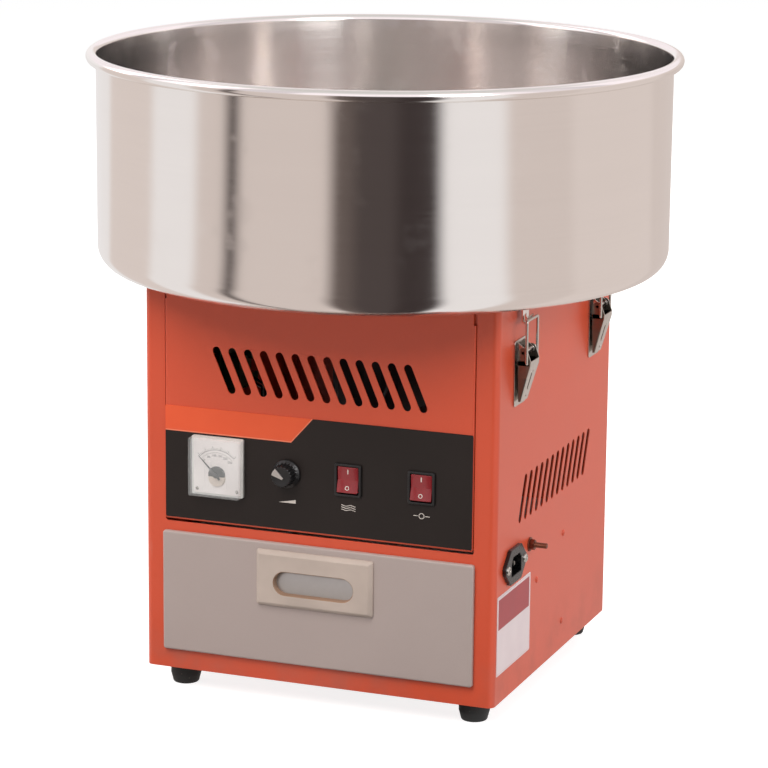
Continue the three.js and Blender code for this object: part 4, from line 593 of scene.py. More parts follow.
softbox("key_light", (-0.45, -2.3, 2.7), 1.6, 2.2, 98, (1.0, 0.985, 0.96))
softbox("side_light", (2.7, 0.2, 1.2), 1.6, 2.0, 40)
softbox("top_light", (0.0, 0.6, 2.6), 2.0, 2.0, 26)
softbox("left_light", (-2.7, 0.3, 1.3), 1.6, 1.8, 40)
softbox("back_light", (0.3, 2.8, 1.7), 1.8, 1.8, 62)
softbox("bowl_streak", (1.98, -1.72, 1.5), 0.9, 1.4, 24, mirrored=True)


def studio_floor():
    """White for the camera; polished metal sees the flags on it, by compass direction, as on the surround."""
    recipe = Recipe("studio_floor")
    east, north = recipe.axes()[:2]
    glow = recipe.mix(recipe.rays("Camera"), BLACK, FLOOR_GLOW)
    recipe.done(Base_Color=(0.42, 0.42, 0.415, 1.0), Roughness=0.9, Specular_IOR_Level=0.0,
                Emission_Color=glow, Emission_Strength=1.0)
    plain = Value(recipe, recipe.tree.nodes["Principled BSDF"].outputs[0])
    bands = recipe.node("ShaderNodeEmission", inputs={
        "Color": round_horizon(recipe, east, north, FLAGS), "Strength": FLAGS_ON_FLOOR})
    both = recipe.node("ShaderNodeMixShader", inputs={0: recipe.rays("Glossy"), 1: plain, 2: bands})
    recipe.join(both, "Material Output", "Surface")
    return recipe.owner


floor = moved(blank("floor", rectangle(-12, -12, 12, 12), sheet=0.01, edge=0.001), z=-0.01)
floor.data.materials.append(studio_floor())
print("lamps:", len(bpy.data.lights), "and a floor")

# %% [markdown]
# ## Finishes
# Each finish is a short function. Powder coat is sprayed dry and melted, so it has a fine orange peel,
# a soft sheen and slightly uneven colour, and it rubs through to grey primer where things knock it.

# %% Painted steel
DUST_TOP = 85 * MM


def tinted(colour, factor, lift=0.0):
    """A linear colour made darker or paler: c * factor + lift, at most 1."""
    return (*(min(c * factor + lift, 1.0) for c in colour[:3]), 1.0)


def painted(name, colour, roughness=0.36, scuff=0.5, dust=0.0):
    """Powder coat: fine waves all over, rubs by the strength of scuff, and grey dust near the table."""
    paint = Recipe(name)
    height = paint.axes()[2]
    cloud = paint.noise(9, 3)
    speck = paint.noise(900, 1)
    streak = paint.noise(60, 3, 0.6, paint.stretched(1, 1, 0.08))
    tint = (cloud - 0.5) * 0.5 + (speck - 0.5) * 0.25 + 0.5
    body = paint.mix(tint.held(), tinted(colour, 0.90), tinted(colour, 1.09, 0.004))
    rub = (streak.step(0.62, 0.74) * paint.noise(14, 2).step(0.52, 0.66)) * scuff
    low = (height * -1 + DUST_TOP).step(0.0, 60 * MM) * paint.noise(26, 3).step(0.35, 0.75) * dust
    worn = paint.mix((rub * 0.22).held(), body, shade(205, 186, 176))
    dusty = paint.mix((low * 0.45).held(), worn, shade(120, 104, 96))
    waves = paint.noise(420, 2, 0.6)
    rough = (cloud - 0.5) * 0.12 + rub * 0.12 + low * 0.2 + roughness
    return paint.done(
        Base_Color=dusty, Roughness=rough, Specular_IOR_Level=0.5, Coat_Weight=0.2, Coat_Roughness=0.3,
        Normal=paint.bump(waves, 0.12 * MM, 0.5))


ORANGE = shade(208, 78, 47)
orange_paint = painted("orange_powder_coat", ORANGE, dust=0.6)
drawer_paint = painted("drawer_grey_paint", shade(172, 156, 151), roughness=0.42, scuff=0.9)
print("made:", orange_paint.name, drawer_paint.name)

# %% [markdown]
# The bowl is spun from stainless sheet and then brushed on the lathe, so its fine lines run round it.
# Lines that follow the turning are noise that is stretched along the angle: the height is scaled up by
# far more than the other two axes, which leaves long thin marks on an upright wall.

# %% Stainless steel
BRUSH_LINES = 1400


def turned_steel(name, colour, roughness, lines=1.0, flat=False, drawn=0.0):
    """Steel brushed on a lathe. On a wall the lines change with height, and on a flat face with radius.

    Brushing pulls a reflection out across its lines, and drawn says how much, from 0 to 1.
    """
    steel = Recipe(name)
    x, y = steel.axes()[:2]
    if flat:
        radius = (x * x + y * y) ** 0.5
        across = steel.node("ShaderNodeCombineXYZ", inputs={0: radius * BRUSH_LINES, 1: x * 3, 2: y * 3})
    else:
        across = steel.stretched(3, 3, BRUSH_LINES)
    fine = steel.noise(1.0, 3, 0.7, across)
    broad = steel.noise(1.0, 2, 0.5, steel.stretched(2, 2, 60))
    smear = steel.noise(11, 3, 0.6)
    tone = (fine - 0.5) * 0.22 + (broad - 0.5) * 0.12 + (smear - 0.5) * 0.10 + 0.5
    finger_marks = steel.noise(34, 2).step(0.60, 0.72) * 0.05
    return steel.done(
        Base_Color=steel.mix(tone.held(), tinted(colour, 0.88), tinted(colour, 1.08)), Metallic=1.0,
        Anisotropic=drawn, Anisotropic_Rotation=0.25,
        Roughness=(fine - 0.5) * 0.10 + (smear - 0.5) * 0.06 + finger_marks + roughness,
        Normal=steel.bump(fine * 0.7 + broad * 0.3, 0.03 * MM, 0.6 * lines))


bowl_steel = turned_steel("brushed_stainless", shade(246, 242, 239), 0.11)
bowl_floor_steel = turned_steel("brushed_stainless_floor", shade(243, 239, 235), 0.17, flat=True, drawn=0.9)
bowl_inside_steel = turned_steel("brushed_stainless_inside", shade(246, 242, 239), 0.14, drawn=0.9)
head_aluminium = turned_steel("turned_aluminium", shade(208, 205, 200), 0.28, 1.4, flat=True)


def plated(name, colour, roughness=0.28, grain=(1, 1, 1), stain=0.3):
    """Zinc or nickel plate on rolled sheet: faint crystals, rolling marks along an axis and dull stains."""
    metal = Recipe(name)
    crystals = metal.cells(260)
    marks = metal.noise(220, 2, 0.6, metal.stretched(*grain))
    blots = metal.noise(38, 4, 0.65).step(0.5, 0.75) * stain
    tone = (crystals - 0.4) * 0.2 + (marks - 0.5) * 0.3 + 0.55
    clean = metal.mix(tone.held(), tinted(colour, 0.85), colour)
    return metal.done(
        Base_Color=metal.mix((blots * 0.5).held(), clean, tinted(colour, 0.55)), Metallic=1.0,
        Roughness=(marks - 0.5) * 0.16 + blots * 0.25 + roughness,
        Normal=metal.bump(marks, 0.02 * MM, 0.5))


latch_steel = plated("nickel_plate", shade(214, 210, 204), 0.2, (1, 1, 0.1), 0.2)
# A darker copy of the lever's nickel plate: painted shade for the faces that look forwards or backwards.
latch_painted_shade = plated("nickel_plate_painted_shade", shade(132, 126, 116), 0.38, (1, 1, 0.1), 0.5)
zinc_sheet = plated("zinc_plated_sheet", shade(188, 186, 182), 0.34, (1, 0.06, 1))
zinc_screw = plated("zinc_plated_screw", shade(200, 197, 190), 0.26)
brass_stud = plated("dull_brass", shade(134, 84, 66), 0.42, stain=0.9)
ring_brass = plated("turned_brass", shade(196, 158, 92), 0.24, (1, 1, 8))
print("made: steels, plates and brass")

# %% [markdown]
# Moulded parts have a fine spark-eroded grain and go a little paler in soft random patches. One function
# serves the case, the knob, the switches and the feet, with their own colour, grain and gloss.

# %% Mouldings
def moulded(name, colour, roughness=0.45, grain=900, depth=0.04, specks=0.0, **more):
    """Moulded plastic or rubber: grain in pits per metre, their depth in millimetres, specks of pale dust."""
    plastic = Recipe(name)
    pits = plastic.noise(grain, 2, 0.6)
    cloud = plastic.noise(30, 3)
    dust = plastic.noise(420, 2).step(0.66, 0.76) * specks
    body = plastic.mix(((cloud - 0.5) * 1.2 + 0.3).held(), colour, tinted(colour, 1.35, 0.006))
    return plastic.done(
        Base_Color=plastic.mix((dust * 0.4).held(), body, shade(150, 142, 134)),
        Roughness=(pits - 0.5) * 0.1 + (cloud - 0.5) * 0.1 + dust * 0.3 + roughness,
        Normal=plastic.bump(pits, depth * MM, 0.8), **more)


foot_rubber = moulded("foot_rubber", shade(30, 31, 30), 0.7, 500, 0.08, 0.5)
black_plastic = moulded("black_moulding", shade(24, 23, 23), 0.4, specks=0.12)
knob_plastic = moulded("knob_black", shade(20, 20, 21), 0.34, specks=0.1)
inlet_plastic = moulded("inlet_black", shade(15, 15, 16), 0.28, specks=0.15)
pull_plastic = moulded("pull_ivory", shade(178, 162, 152), 0.38, 700, 0.03)
# The same ivory plastic as the pull, made darker: painted shade inside the cup's hollow.
cup_painted_shade = moulded("pull_cup_painted_shade", shade(144, 114, 93), 0.5, 700, 0.03)
dial_white = moulded("dial_white", shade(226, 217, 215), 0.5, 1200, 0.01)
brown_resin = moulded("phenolic_resin", shade(92, 56, 36), 0.5)
carbon_black = moulded("carbon_brush", shade(38, 38, 41), 0.65)
dark_print = moulded("dark_print", shade(44, 42, 44), 0.5, 1500, 0.01)
pale_print = moulded("pale_print", shade(206, 196, 188), 0.5, 1500, 0.01)
heater_iron = moulded("heater_dark", shade(58, 52, 50), 0.6, 600, 0.08)
motor_paint = painted("motor_enamel", shade(56, 59, 62), 0.4, scuff=0.3)
board_green = moulded("board_green", shade(38, 96, 56), 0.35, 1400, 0.01)
rocker_red = moulded("rocker_red", shade(126, 26, 32), 0.22, 1500, 0.01, Coat_Weight=0.5)


def clear_cover():
    """Clear acrylic: mostly see-through, with its own shine, a faint haze and hairline scratches."""
    acrylic = Recipe("clear_acrylic")
    hair = acrylic.noise(300, 3, 0.6, acrylic.stretched(1, 1, 0.05)).step(0.66, 0.72)
    haze = acrylic.noise(50, 2)
    return acrylic.done(
        Base_Color=shade(238, 240, 240), Roughness=haze * 0.05 + hair * 0.15 + 0.03, Coat_Weight=0.5,
        Alpha=haze * 0.04 + hair * 0.1 + 0.12)


clear_acrylic = clear_cover()
print("made: mouldings, enamel, prints and clear cover")

# %% [markdown]
# ## The housing
# The two sides and the front frame are one sheet. Its blank is punched flat, with the drawer's mouth, the
# panel's window, the slots and the inlet's hole, and then folded round the corners. Folding is a change of
# coordinates: the way along the blank becomes a way along the folded path in plan.

# %% Folding a blank
BEND_STEPS = 8


def fold_line(corners, radii):
    """Way, place and outward direction along a path in plan that turns left at each of its corners.

    An arc stands for each corner: centre + r (n cos t + m sin t), with n and m the outward directions
    before and after it. Way 0 is the middle of the path.
    """
    corners = np.array(corners, float)
    legs = np.diff(corners, axis=0)
    ahead = legs / np.linalg.norm(legs, axis=1)[:, None]
    outward = np.stack([ahead[:, 1], -ahead[:, 0]], axis=1)
    quarter = np.linspace(0, math.pi / 2, BEND_STEPS + 1)[:, None]
    places, normals = [corners[:1]], [outward[:1]]
    for i, radius in enumerate(radii):
        normal = outward[i] * np.cos(quarter) + outward[i + 1] * np.sin(quarter)
        places.append(corners[i + 1] - radius * (outward[i] + outward[i + 1]) + radius * normal)
        normals.append(normal)
    places = np.concatenate([*places, corners[-1:]])
    normals = np.concatenate([*normals, outward[-1:]])
    ways = np.concatenate([[0], np.cumsum(np.linalg.norm(np.diff(places, axis=0), axis=1))])
    return ways - ways[-1] / 2, places, normals


def folded(piece, line, sheet):
    """Cuts a blank across at each bend and folds it.

    A point (x, y, z) goes to place(x) + (z - sheet) outward(x), at height y.
    """
    ways, places, normals = line
    bent = np.abs(np.diff(normals, axis=0)).max(axis=1) > 1e-6
    ends = ways[1:-1][bent[1:] != bent[:-1]]
    cuts = np.unique(np.concatenate([ways[1:-1], ends - 0.4 * MM, ends + 0.4 * MM]))
    work = bmesh.new()
    work.from_mesh(piece.data)
    for way in cuts:
        geometry = [*work.verts, *work.edges, *work.faces]
        bmesh.ops.bisect_plane(work, geom=geometry, plane_co=(way, 0, 0), plane_no=(1, 0, 0), dist=1e-7)
    work.to_mesh(piece.data)
    work.free()
    x, height, depth = rows_of(piece.data.vertices, "co").T
    place = np.stack([np.interp(x, ways, places[:, i]) for i in range(2)], axis=1)
    outward = np.stack([np.interp(x, ways, normals[:, i]) for i in range(2)], axis=1)
    plan = place + (depth - sheet)[:, None] * outward
    piece.data.vertices.foreach_set("co", np.column_stack([plan, height]).ravel())
    piece.data.update()
    return piece


def slot_row(middle, height, lean):
    """A row of leaning slots, as the same punch makes them on every side of the machine."""
    return [
        leaning_slot(middle + (i - (SLOTS - 1) / 2) * SLOT_PITCH, height, SLOT_HEIGHT, SLOT_WIDTH, lean)
        for i in range(SLOTS)]


SHELL_SHEET, SLOTS = 1.5 * MM, 13
SLOT_PITCH, SLOT_HEIGHT, SLOT_WIDTH, SLOT_LEAN = 14.6 * MM, 40.4 * MM, 7.2 * MM, 14.2 * MM
SHELL_RADIUS, HEM_RADIUS = 6 * MM, 1.6 * MM
print("helpers: fold_line, folded, slot_row")

# %% [markdown]
# The shell's path starts behind the left side, comes forward, crosses the front and goes back on the
# right. Places on a side are ways from the front corner, and the left side mirrors the right.

# %% Housing shell
SIDE, FRONT, BACK = shell_high[0], shell_low[1], shell_high[1]
BOTTOM, TOP = shell_low[2], shell_high[2]
HEM = 14 * MM
shell_line = fold_line([
    (-SIDE + HEM, BACK), (-SIDE, BACK), (-SIDE, FRONT), (SIDE, FRONT), (SIDE, BACK), (SIDE - HEM, BACK),
], [HEM_RADIUS, SHELL_RADIUS, SHELL_RADIUS, HEM_RADIUS])
THREE_BENDS = 3 * (BEND_STEPS + 1)
SIDE_START = shell_line[0][THREE_BENDS]


def side_way(y):
    """The way along the blank to a place y on the right side."""
    return SIDE_START + y - (FRONT + SHELL_RADIUS)


MOUTH = rectangle(-137.2 * MM, 44.35 * MM, 137.2 * MM, 139.15 * MM, 3 * MM)
INLET_Y, INLET_Z = -105 * MM, 136.05 * MM
SIDE_SLOTS_Y, SIDE_SLOTS_Z = 6.5 * MM, 188.05 * MM


def make_shell():
    """The blank, with a window cut down from its top edge for the panel, folded along the shell's path."""
    end, window, sill = shell_line[0][-1], 142.2 * MM, 153.85 * MM
    outline = np.concatenate([
        [[-end, BOTTOM], [end, BOTTOM], [end, TOP], [window, TOP]],
        arc(window - 2 * MM, sill + 2 * MM, 2 * MM, 0, -90, 4),
        arc(-window + 2 * MM, sill + 2 * MM, 2 * MM, -90, -180, 4),
        [[-window, TOP], [-end, TOP]]])
    inlet = side_way(INLET_Y)
    holes = [
        MOUTH, *slot_row(side_way(SIDE_SLOTS_Y), SIDE_SLOTS_Z, SLOT_LEAN),
        *slot_row(-side_way(SIDE_SLOTS_Y), SIDE_SLOTS_Z, -SLOT_LEAN),
        rectangle(inlet - 14 * MM, INLET_Z - 10 * MM, inlet + 14 * MM, INLET_Z + 10 * MM, 1 * MM)]
    shell = blank("shell", outline, holes, SHELL_SHEET, 0.25 * MM)
    return folded(shell, shell_line, SHELL_SHEET)


shell = make_shell()
print("shell:", len(shell.data.polygons), "faces")

# %% [markdown]
# Rivets and screws are turned pieces, made once on the table and placed by a matrix. A rivet's head is a
# shallow dome. A pan head has a cross recess, which is a fold in the height of its grid: the recess is
# deep where the point is near one of the two arms and near the middle.

# %% Rivets and screws
def dome(name, radius, height):
    """r = R sin t, h = H cos t on a low straight edge: a rivet's head or a button."""
    t = np.linspace(math.pi / 2, 0, 7)
    foot = -0.4 * height
    return turned(name, [(0, foot), (radius, foot), *zip(radius * np.sin(t), height * np.cos(t))], 20)


def pan_screw(radius, height):
    """A pan head on z = 0: z = H (1 - (r/R)^4 / 2), less half of H inside the cross."""
    segments = 48
    t = np.linspace(0, 1, 15)[:, None]
    angle = np.linspace(0, FULL, segments, endpoint=False)[None, :]
    r = radius * (1 - (1 - t) ** 1.4)
    x, y = r * np.cos(angle), r * np.sin(angle)
    arm = 0.16 * radius
    inside = np.minimum(np.abs(x), np.abs(y)) / arm
    reach = np.maximum(np.abs(x), np.abs(y)) / (0.62 * radius)
    cross = np.clip((1.15 - inside) * 4, 0, 1) * np.clip((1.05 - reach) * 5, 0, 1)
    z = height * (1 - 0.5 * (r / radius) ** 4) - 0.5 * height * cross
    top = np.stack([x, y, z], axis=2)
    side = np.stack([x[-1:], y[-1:], np.full((1, segments), -0.2 * height)], axis=2)
    return surface("screw", np.concatenate([top, side]), close_columns=True, smooth=50)


FACES = {
    "front": Matrix(((1, 0, 0), (0, 0, -1), (0, 1, 0))),
    "back": Matrix(((-1, 0, 0), (0, 0, 1), (0, 1, 0))),
    "right": Matrix(((0, 0, 1), (1, 0, 0), (0, 1, 0))),
    "left": Matrix(((0, 0, -1), (-1, 0, 0), (0, 1, 0))),
    "below": Matrix(((1, 0, 0), (0, -1, 0), (0, 0, -1)))}


def facing(piece, face, x, y, z):
    """Stands a piece that was made on the table on a face of the machine, with its own +Z outwards.

    On a wall its +Y is up, and its origin goes to the place.
    """
    return placed(piece, Matrix.Translation((x, y, z)) @ FACES[face].to_4x4())


# The runners' rivets on both sides were painted together with the shell.
RUNNER_RIVETS = [(34, 45.85), (34, 127.45), (-39, 104.05)]
shell = joined("shell", shell, *[
    facing(dome("rivet", 3.1 * MM, 1.35 * MM), face, side * SIDE, y * MM, z * MM)
    for side, face in ((1, "right"), (-1, "left")) for y, z in RUNNER_RIVETS])
print("shell with its", 2 * len(RUNNER_RIVETS), "painted rivets")

# %% [markdown]
# Every finished piece is handed over in the same way: it gets its material, stands for its construction
# node if it has one, and rides on the node's body. A piece may have a further finish, on the
# faces that a mask chooses.

# %% Handing over
def coated(piece, material):
    """Gives a piece one finish, in place of what it had."""
    piece.data.materials.clear()
    piece.data.materials.append(material)


def added(piece, name, material, body="housing"):
    """Names a piece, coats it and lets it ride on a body."""
    piece.name = name
    coated(piece, material)
    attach(piece, body)
    return piece


def handed(piece, name, material, body="housing", node=""):
    """The same for a piece that stands for a node of the construction."""
    added(piece, name, material, body)
    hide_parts(node)
    return piece


def further_finish(piece, material, chosen):
    """Gives one more finish to the chosen faces: chosen is true or false for each."""
    index = np.empty(len(chosen), np.int32)
    piece.data.polygons.foreach_get("material_index", index)
    index[chosen] = len(piece.data.materials)
    piece.data.polygons.foreach_set("material_index", index)
    piece.data.materials.append(material)


handed(shell, "shell_skin", orange_paint, node="housing_shell")
print("handed over:", shell.name)


# %% [markdown]
# The rear cover is a flat blank with the same slots, held by six screws. The front panel is a tray that
# stands a little proud of its window: its sides are folded back, and so is its lower edge, whose rounded
# lip catches the light above the dark gap under it.

# %% Rear cover and front panel
cover_low, cover_high = box_of("rear_cover")
COVER_X = (cover_high[0] - cover_low[0]) / 2
SCREW_RADIUS, SCREW_HEIGHT = 3.8 * MM, 2.2 * MM
rear_cover = facing(
    blank("cover", rectangle(-COVER_X, 21.05 * MM, COVER_X, 363.05 * MM, 3 * MM),
          slot_row(0, 260.05 * MM, -SLOT_LEAN)), "back", 0, 159.8 * MM, 0)
handed(rear_cover, "rear_cover_skin", orange_paint, node="rear_cover")

cover_screws = joined("screws", *[
    facing(pan_screw(SCREW_RADIUS, SCREW_HEIGHT), "back", side * 154.75 * MM, 161.0 * MM, z * MM)
    for side in (-1, 1) for z in (46.05, 192.05, 338.05)])
added(cover_screws, "rear_cover_screws", zinc_screw)

PANEL_X, PANEL_FACE = panel_high[0], -152.7 * MM
CONTROL_Z = 208.05 * MM
METER_X, KNOB_X, SWITCH_XS = -91 * MM, -27 * MM, (29.5 * MM, 96 * MM)


def control_holes():
    """Loops of the openings behind the meter, the knob and the two switches."""
    wide, high = 11.4 * MM, 13.4 * MM
    switches = [rectangle(x - wide, CONTROL_Z - high, x + wide, CONTROL_Z + high) for x in SWITCH_XS]
    return [circle(METER_X, CONTROL_Z, 22.4 * MM, 32), circle(KNOB_X, CONTROL_Z, 5.2 * MM), *switches]


def make_panel():
    """A blank with two ears, which fold back as the sides, and the lip as a strip of its own."""
    radius, sheet, ear_top = 1.8 * MM, 1.2 * MM, 351.6 * MM
    line = fold_line([
        (-PANEL_X, PANEL_FACE + 10 * MM), (-PANEL_X, PANEL_FACE), (PANEL_X, PANEL_FACE),
        (PANEL_X, PANEL_FACE + 10 * MM)], [radius, radius])
    reach, low = line[0][-1], panel_low[2]
    shoulder = PANEL_X - radius
    outline = np.array([
        (-shoulder, low + radius), (shoulder, low + radius), (reach, low + radius), (reach, ear_top),
        (shoulder, ear_top), (shoulder, TOP), (-shoulder, TOP), (-shoulder, ear_top), (-reach, ear_top),
        (-reach, low + radius)])
    holes = [*slot_row(1.5 * MM, 293.05 * MM, -SLOT_LEAN), *control_holes()]
    sheet_piece = folded(blank("panel", outline, holes), line, sheet)
    lip = rounded_path([
        (PANEL_FACE + sheet / 2, low + radius), (PANEL_FACE + sheet / 2, low + sheet / 2),
        (PANEL_FACE + 10 * MM, low + sheet / 2)], 0.9 * MM)
    lip_piece = bar("lip", strip_section(lip, sheet), PANEL_X - 0.4 * MM)
    return joined("panel", sheet_piece, lip_piece)


handed(make_panel(), "front_panel_skin", orange_paint, node="front_panel")
print("rear cover with 6 screws, front panel with", SLOTS, "slots")

# %% [markdown]
# A printed film covers the lower half of the panel: black, with an orange tab cut off at a slant at its
# upper left. The print is a mask in the shader, worked out from x and z: the tab is above its lower line
# and left of its slanted line. A pale line just inside the tab's edges is a painted highlight.

# %% Printed film
TAB_LOW, TAB_RIGHT, TAB_SLANT = 235.6 * MM, -23.4 * MM, 19.9 / 22.4
PRINT_EDGE = 3000


def film_print():
    """The tab is where the smaller of the two distances is above 0; its edge takes 1 / PRINT_EDGE metres."""
    film = Recipe("printed_film")
    x, _, z = film.axes()
    above = z - TAB_LOW
    inwards = above.least((x - TAB_RIGHT - above * TAB_SLANT) * -1)
    inside = (inwards * PRINT_EDGE + 0.5).held()
    # A thin pale line just inside the tab's edges: a painted highlight.
    pale_edge_highlight = (inwards * -PRINT_EDGE + 3.6).held() * inside
    grain = film.noise(1300, 2, 0.6)
    cloud = film.noise(18, 3)
    smear = film.noise(40, 3, 0.6).step(0.56, 0.72)
    black = film.mix((cloud - 0.5) * 0.8 + 0.5, shade(30, 25, 23), shade(40, 33, 31))
    orange = film.mix((cloud - 0.5) * 0.9 + 0.5, shade(222, 84, 50), shade(236, 100, 62))
    # The pale orange mixed in along the tab's edges is the painted highlight.
    tab = film.mix(pale_edge_highlight * 0.5, orange, shade(240, 160, 130))
    return film.done(
        Base_Color=film.mix(inside, black, tab), Roughness=(cloud - 0.5) * 0.12 + smear * 0.08 + 0.34,
        Specular_IOR_Level=0.28, Normal=film.bump(grain, 0.02 * MM, 0.6))


overlay = facing(blank(
    "film", rectangle(overlay_low[0], overlay_low[2], overlay_high[0], overlay_high[2], 1.2 * MM),
    control_holes(), 0.6 * MM, 0.12 * MM), "front", 0, overlay_high[1], 0)
handed(overlay, "control_film", film_print(), node="control_overlay")
print("film on the panel's lower half")

# %% [markdown]
# Under each control stands a small pale mark: a rising wedge for the heat, three waves for the heater, and a
# ring with two bars for the motor. A print is a blank of its own that is hardly thicker than ink.

# %% Marks under the controls
MARK_Z, MARK_FACE = 183.5 * MM, overlay_low[1]
INK, FINE_INK = (0.06 * MM, 0.01 * MM), (0.04 * MM, 0.005 * MM)


def mark(outline, holes=()):
    """A thin print of its own, on the face of the film."""
    return facing(blank("mark", outline, holes, *INK), "front", 0, MARK_FACE, 0)


def wave(x, z, width, height, line):
    """Outline of a wavy line: height as a sine of the way across, moved half a line up and down."""
    across = np.linspace(-width / 2, width / 2, 25)
    middle = z + height / 2 * np.sin(across / width * FULL * 1.5)
    upper, lower = (np.column_stack([x + across, middle + side * line / 2]) for side in (1, -1))
    return np.concatenate([upper, lower[::-1]])


heater_x, motor_x = SWITCH_XS
wedge = mark(in_mm([(-8, -1.4), (8, -1.4), (8, 1.8)]) + np.array([KNOB_X, MARK_Z]))
waves = [mark(wave(heater_x, MARK_Z + i * 1.9 * MM, 13 * MM, 0.9 * MM, 0.55 * MM)) for i in (-1, 0, 1)]
ring = mark(circle(motor_x, MARK_Z, 2.6 * MM), [circle(motor_x, MARK_Z, 2.0 * MM)])
bars = [mark(rectangle(motor_x + x * MM, MARK_Z - 0.3 * MM, motor_x + (x + 4) * MM, MARK_Z + 0.3 * MM))
        for x in (-7.4, 3.4)]
added(joined("marks", wedge, *waves, ring, *bars), "control_marks", pale_print)
print("marks for", 1 + len(SWITCH_XS), "controls")

# %% [markdown]
# ## The voltmeter
# A square case carries a white dial and a clear cover. Boxes with rounded edges are layers: one loop at
# many heights, drawn in where the edge rounds off.

# %% Voltmeter case and dial
CONTROL_FACE = -153.4 * MM


def box_loop(half_x, half_y, radius):
    """A loop function for layers: a rounded rectangle that draws in by its inset."""
    return lambda inset: rectangle(
        -half_x + inset, -half_y + inset, half_x - inset, half_y - inset, max(radius - inset, 0.05 * MM))


def at_control(piece, x):
    """Stands a piece on the film, with its origin at the middle of a control."""
    return facing(piece, "front", x, CONTROL_FACE, CONTROL_Z)


meter_flange = layers("case", box_loop(24 * MM, 26 * MM, 1.5 * MM), in_mm([(0, 0), (0, 2.7), (0.3, 3.0)]))
meter_barrel = turned("barrel", in_mm([(0, -26), (21.5, -26), (22, -25.5), (22, 0.5), (0, 0.5)]))
stud_profile = in_mm([(0, -34), (1.6, -34), (2, -33.6), (2, -25), (0, -25)])
meter_studs = [moved(turned("stud", stud_profile, 20), x=x * MM) for x in (-10, 10)]
case_grey = moulded("meter_case_grey", shade(206, 203, 198), 0.35, 1200, 0.01)
handed(at_control(joined("case", meter_flange, meter_barrel, *meter_studs), METER_X),
       "meter_case", case_grey, node="voltmeter_case")

dial = layers("dial", box_loop(22 * MM, 24 * MM, 0.8 * MM), in_mm([(0, 3.05), (0, 3.45), (0.05, 3.55)]))
handed(at_control(dial, METER_X), "meter_dial", dial_white, node="voltmeter_dial")


print("voltmeter: case and dial")

# %% [markdown]
# The scale is a quarter turn about the movement, from 0 at the left to 250 at the right: two arcs, a tick for
# every 10 with longer ones for every 50, and numbers made of text that is turned into a mesh.

# %% Scale
PIVOT_Y, SCALE_START, SCALE_END, TICKS = -7 * MM, 135, 45, 25


def scale_arc(radius, width):
    """A printed arc about the movement."""
    outer = arc(0, PIVOT_Y, (radius + width / 2) * MM, SCALE_END, SCALE_START, 40)
    inner = arc(0, PIVOT_Y, (radius - width / 2) * MM, SCALE_START, SCALE_END, 40)
    return np.concatenate([outer, inner])


def tick(angle, inner, outer, width):
    """A printed line that points at the movement."""
    along = np.array([math.cos(angle), math.sin(angle)])
    across = np.array([-along[1], along[0]]) * width
    corners = [inner * along - across, outer * along - across, outer * along + across, inner * along + across]
    return np.array(corners) * MM + np.array([0, PIVOT_Y])


def number(text, angle, radius, size):
    """A plain number as thin printed faces, upright and centred."""
    curve = bpy.data.curves.new("number", "FONT")
    curve.body, curve.size, curve.align_x, curve.align_y = text, size, "CENTER", "CENTER"
    curve.extrude = 0.02 * MM
    piece = linked("number", mesh_of(curve))
    return moved(piece, radius * math.cos(angle), PIVOT_Y + radius * math.sin(angle))


scale_prints = [blank("scale", scale_arc(*line), (), *FINE_INK) for line in ((22, 0.3), (19.6, 0.2))]
for i in range(TICKS + 1):
    angle = math.radians(SCALE_START + (SCALE_END - SCALE_START) * i / TICKS)
    reach, width = (23.8, 0.1) if i % 5 else (25.2, 0.2)
    scale_prints.append(blank("tick", tick(angle, 22, reach, width), (), *FINE_INK))
    if i % 5 == 0:
        scale_prints.append(number(str(i * 10), angle, 17 * MM, 2.9 * MM))
scale = at_control(moved(joined("scale", *scale_prints), z=3.57 * MM), METER_X)
added(scale, "meter_scale", dark_print)
print("scale:", len(scale_prints), "prints")

# %% [markdown]
# A black half round covers the movement above a beige boss, where the needle turns. The needle's blade
# tapers from its tail, and it stands where the photographed one does, at the low end of the scale. The clear
# cover is one wall thick, so its section is a channel: layers that go up inside and come down outside.

# %% Movement, needle and cover
def mound_loop(inset):
    """A half circle about the movement with a straight lower edge."""
    radius, low = 7.6 * MM - inset, -8.4 * MM
    return np.concatenate([arc(0, PIVOT_Y, radius, 0, 180, 24), [(-radius, low), (radius, low)]])


half_round = layers("mound", mound_loop, in_mm([(0, 3.5), (0, 4.9), (0.5, 5.4)]))
added(at_control(half_round, METER_X), "meter_movement_cover", black_plastic)
beige = moulded("boss_beige", shade(205, 190, 178), 0.5, 1200, 0.01)
boss = moved(turned("boss", in_mm([(0, 5.2), (6.6, 5.2), (7.6, 4.8), (7.9, 3.5), (0, 3.5)])), y=-9.5 * MM)
added(at_control(boss, METER_X), "meter_boss", beige)
meter_screws = [moved(pan_screw(1.5 * MM, 0.9 * MM), x * MM, -20.6 * MM, 3.5 * MM) for x in (-18.6, 18.6)]
added(at_control(joined("screws", *meter_screws), METER_X), "meter_screws", zinc_screw)

cover_profile = in_mm([
    (2.2, 10.4), (1.6, 9.8), (1.6, 3.05), (0, 3.05), (0, 10.6), (0.25, 11.4), (0.8, 11.9), (1.6, 12.05)])
meter_cover = layers("cover", box_loop(24 * MM, 26 * MM, 2.2 * MM), cover_profile, smooth=50)
handed(at_control(meter_cover, METER_X), "meter_cover", clear_acrylic,
       node="voltmeter_cover")

needle_hub = turned("hub", in_mm([(0, 0), (2.3, 0), (2.4, 0.2), (2.2, 1.5), (0, 1.6)]), 32)
blade_outline = in_mm([(-1, -5), (1, -5), (0.28, 22.9), (-0.28, 22.9)])
needle = joined("needle", needle_hub, blank("blade", blade_outline, (), 0.5 * MM, 0.08 * MM))
placed(needle, Matrix.Translation((0, PIVOT_Y, 5.95 * MM)) @ Matrix.Rotation(math.radians(45), 4, "Z"))
handed(at_control(needle, METER_X), "meter_needle", dark_print, "needle",
       "voltmeter_needle")
print("voltmeter: movement, needle and cover")

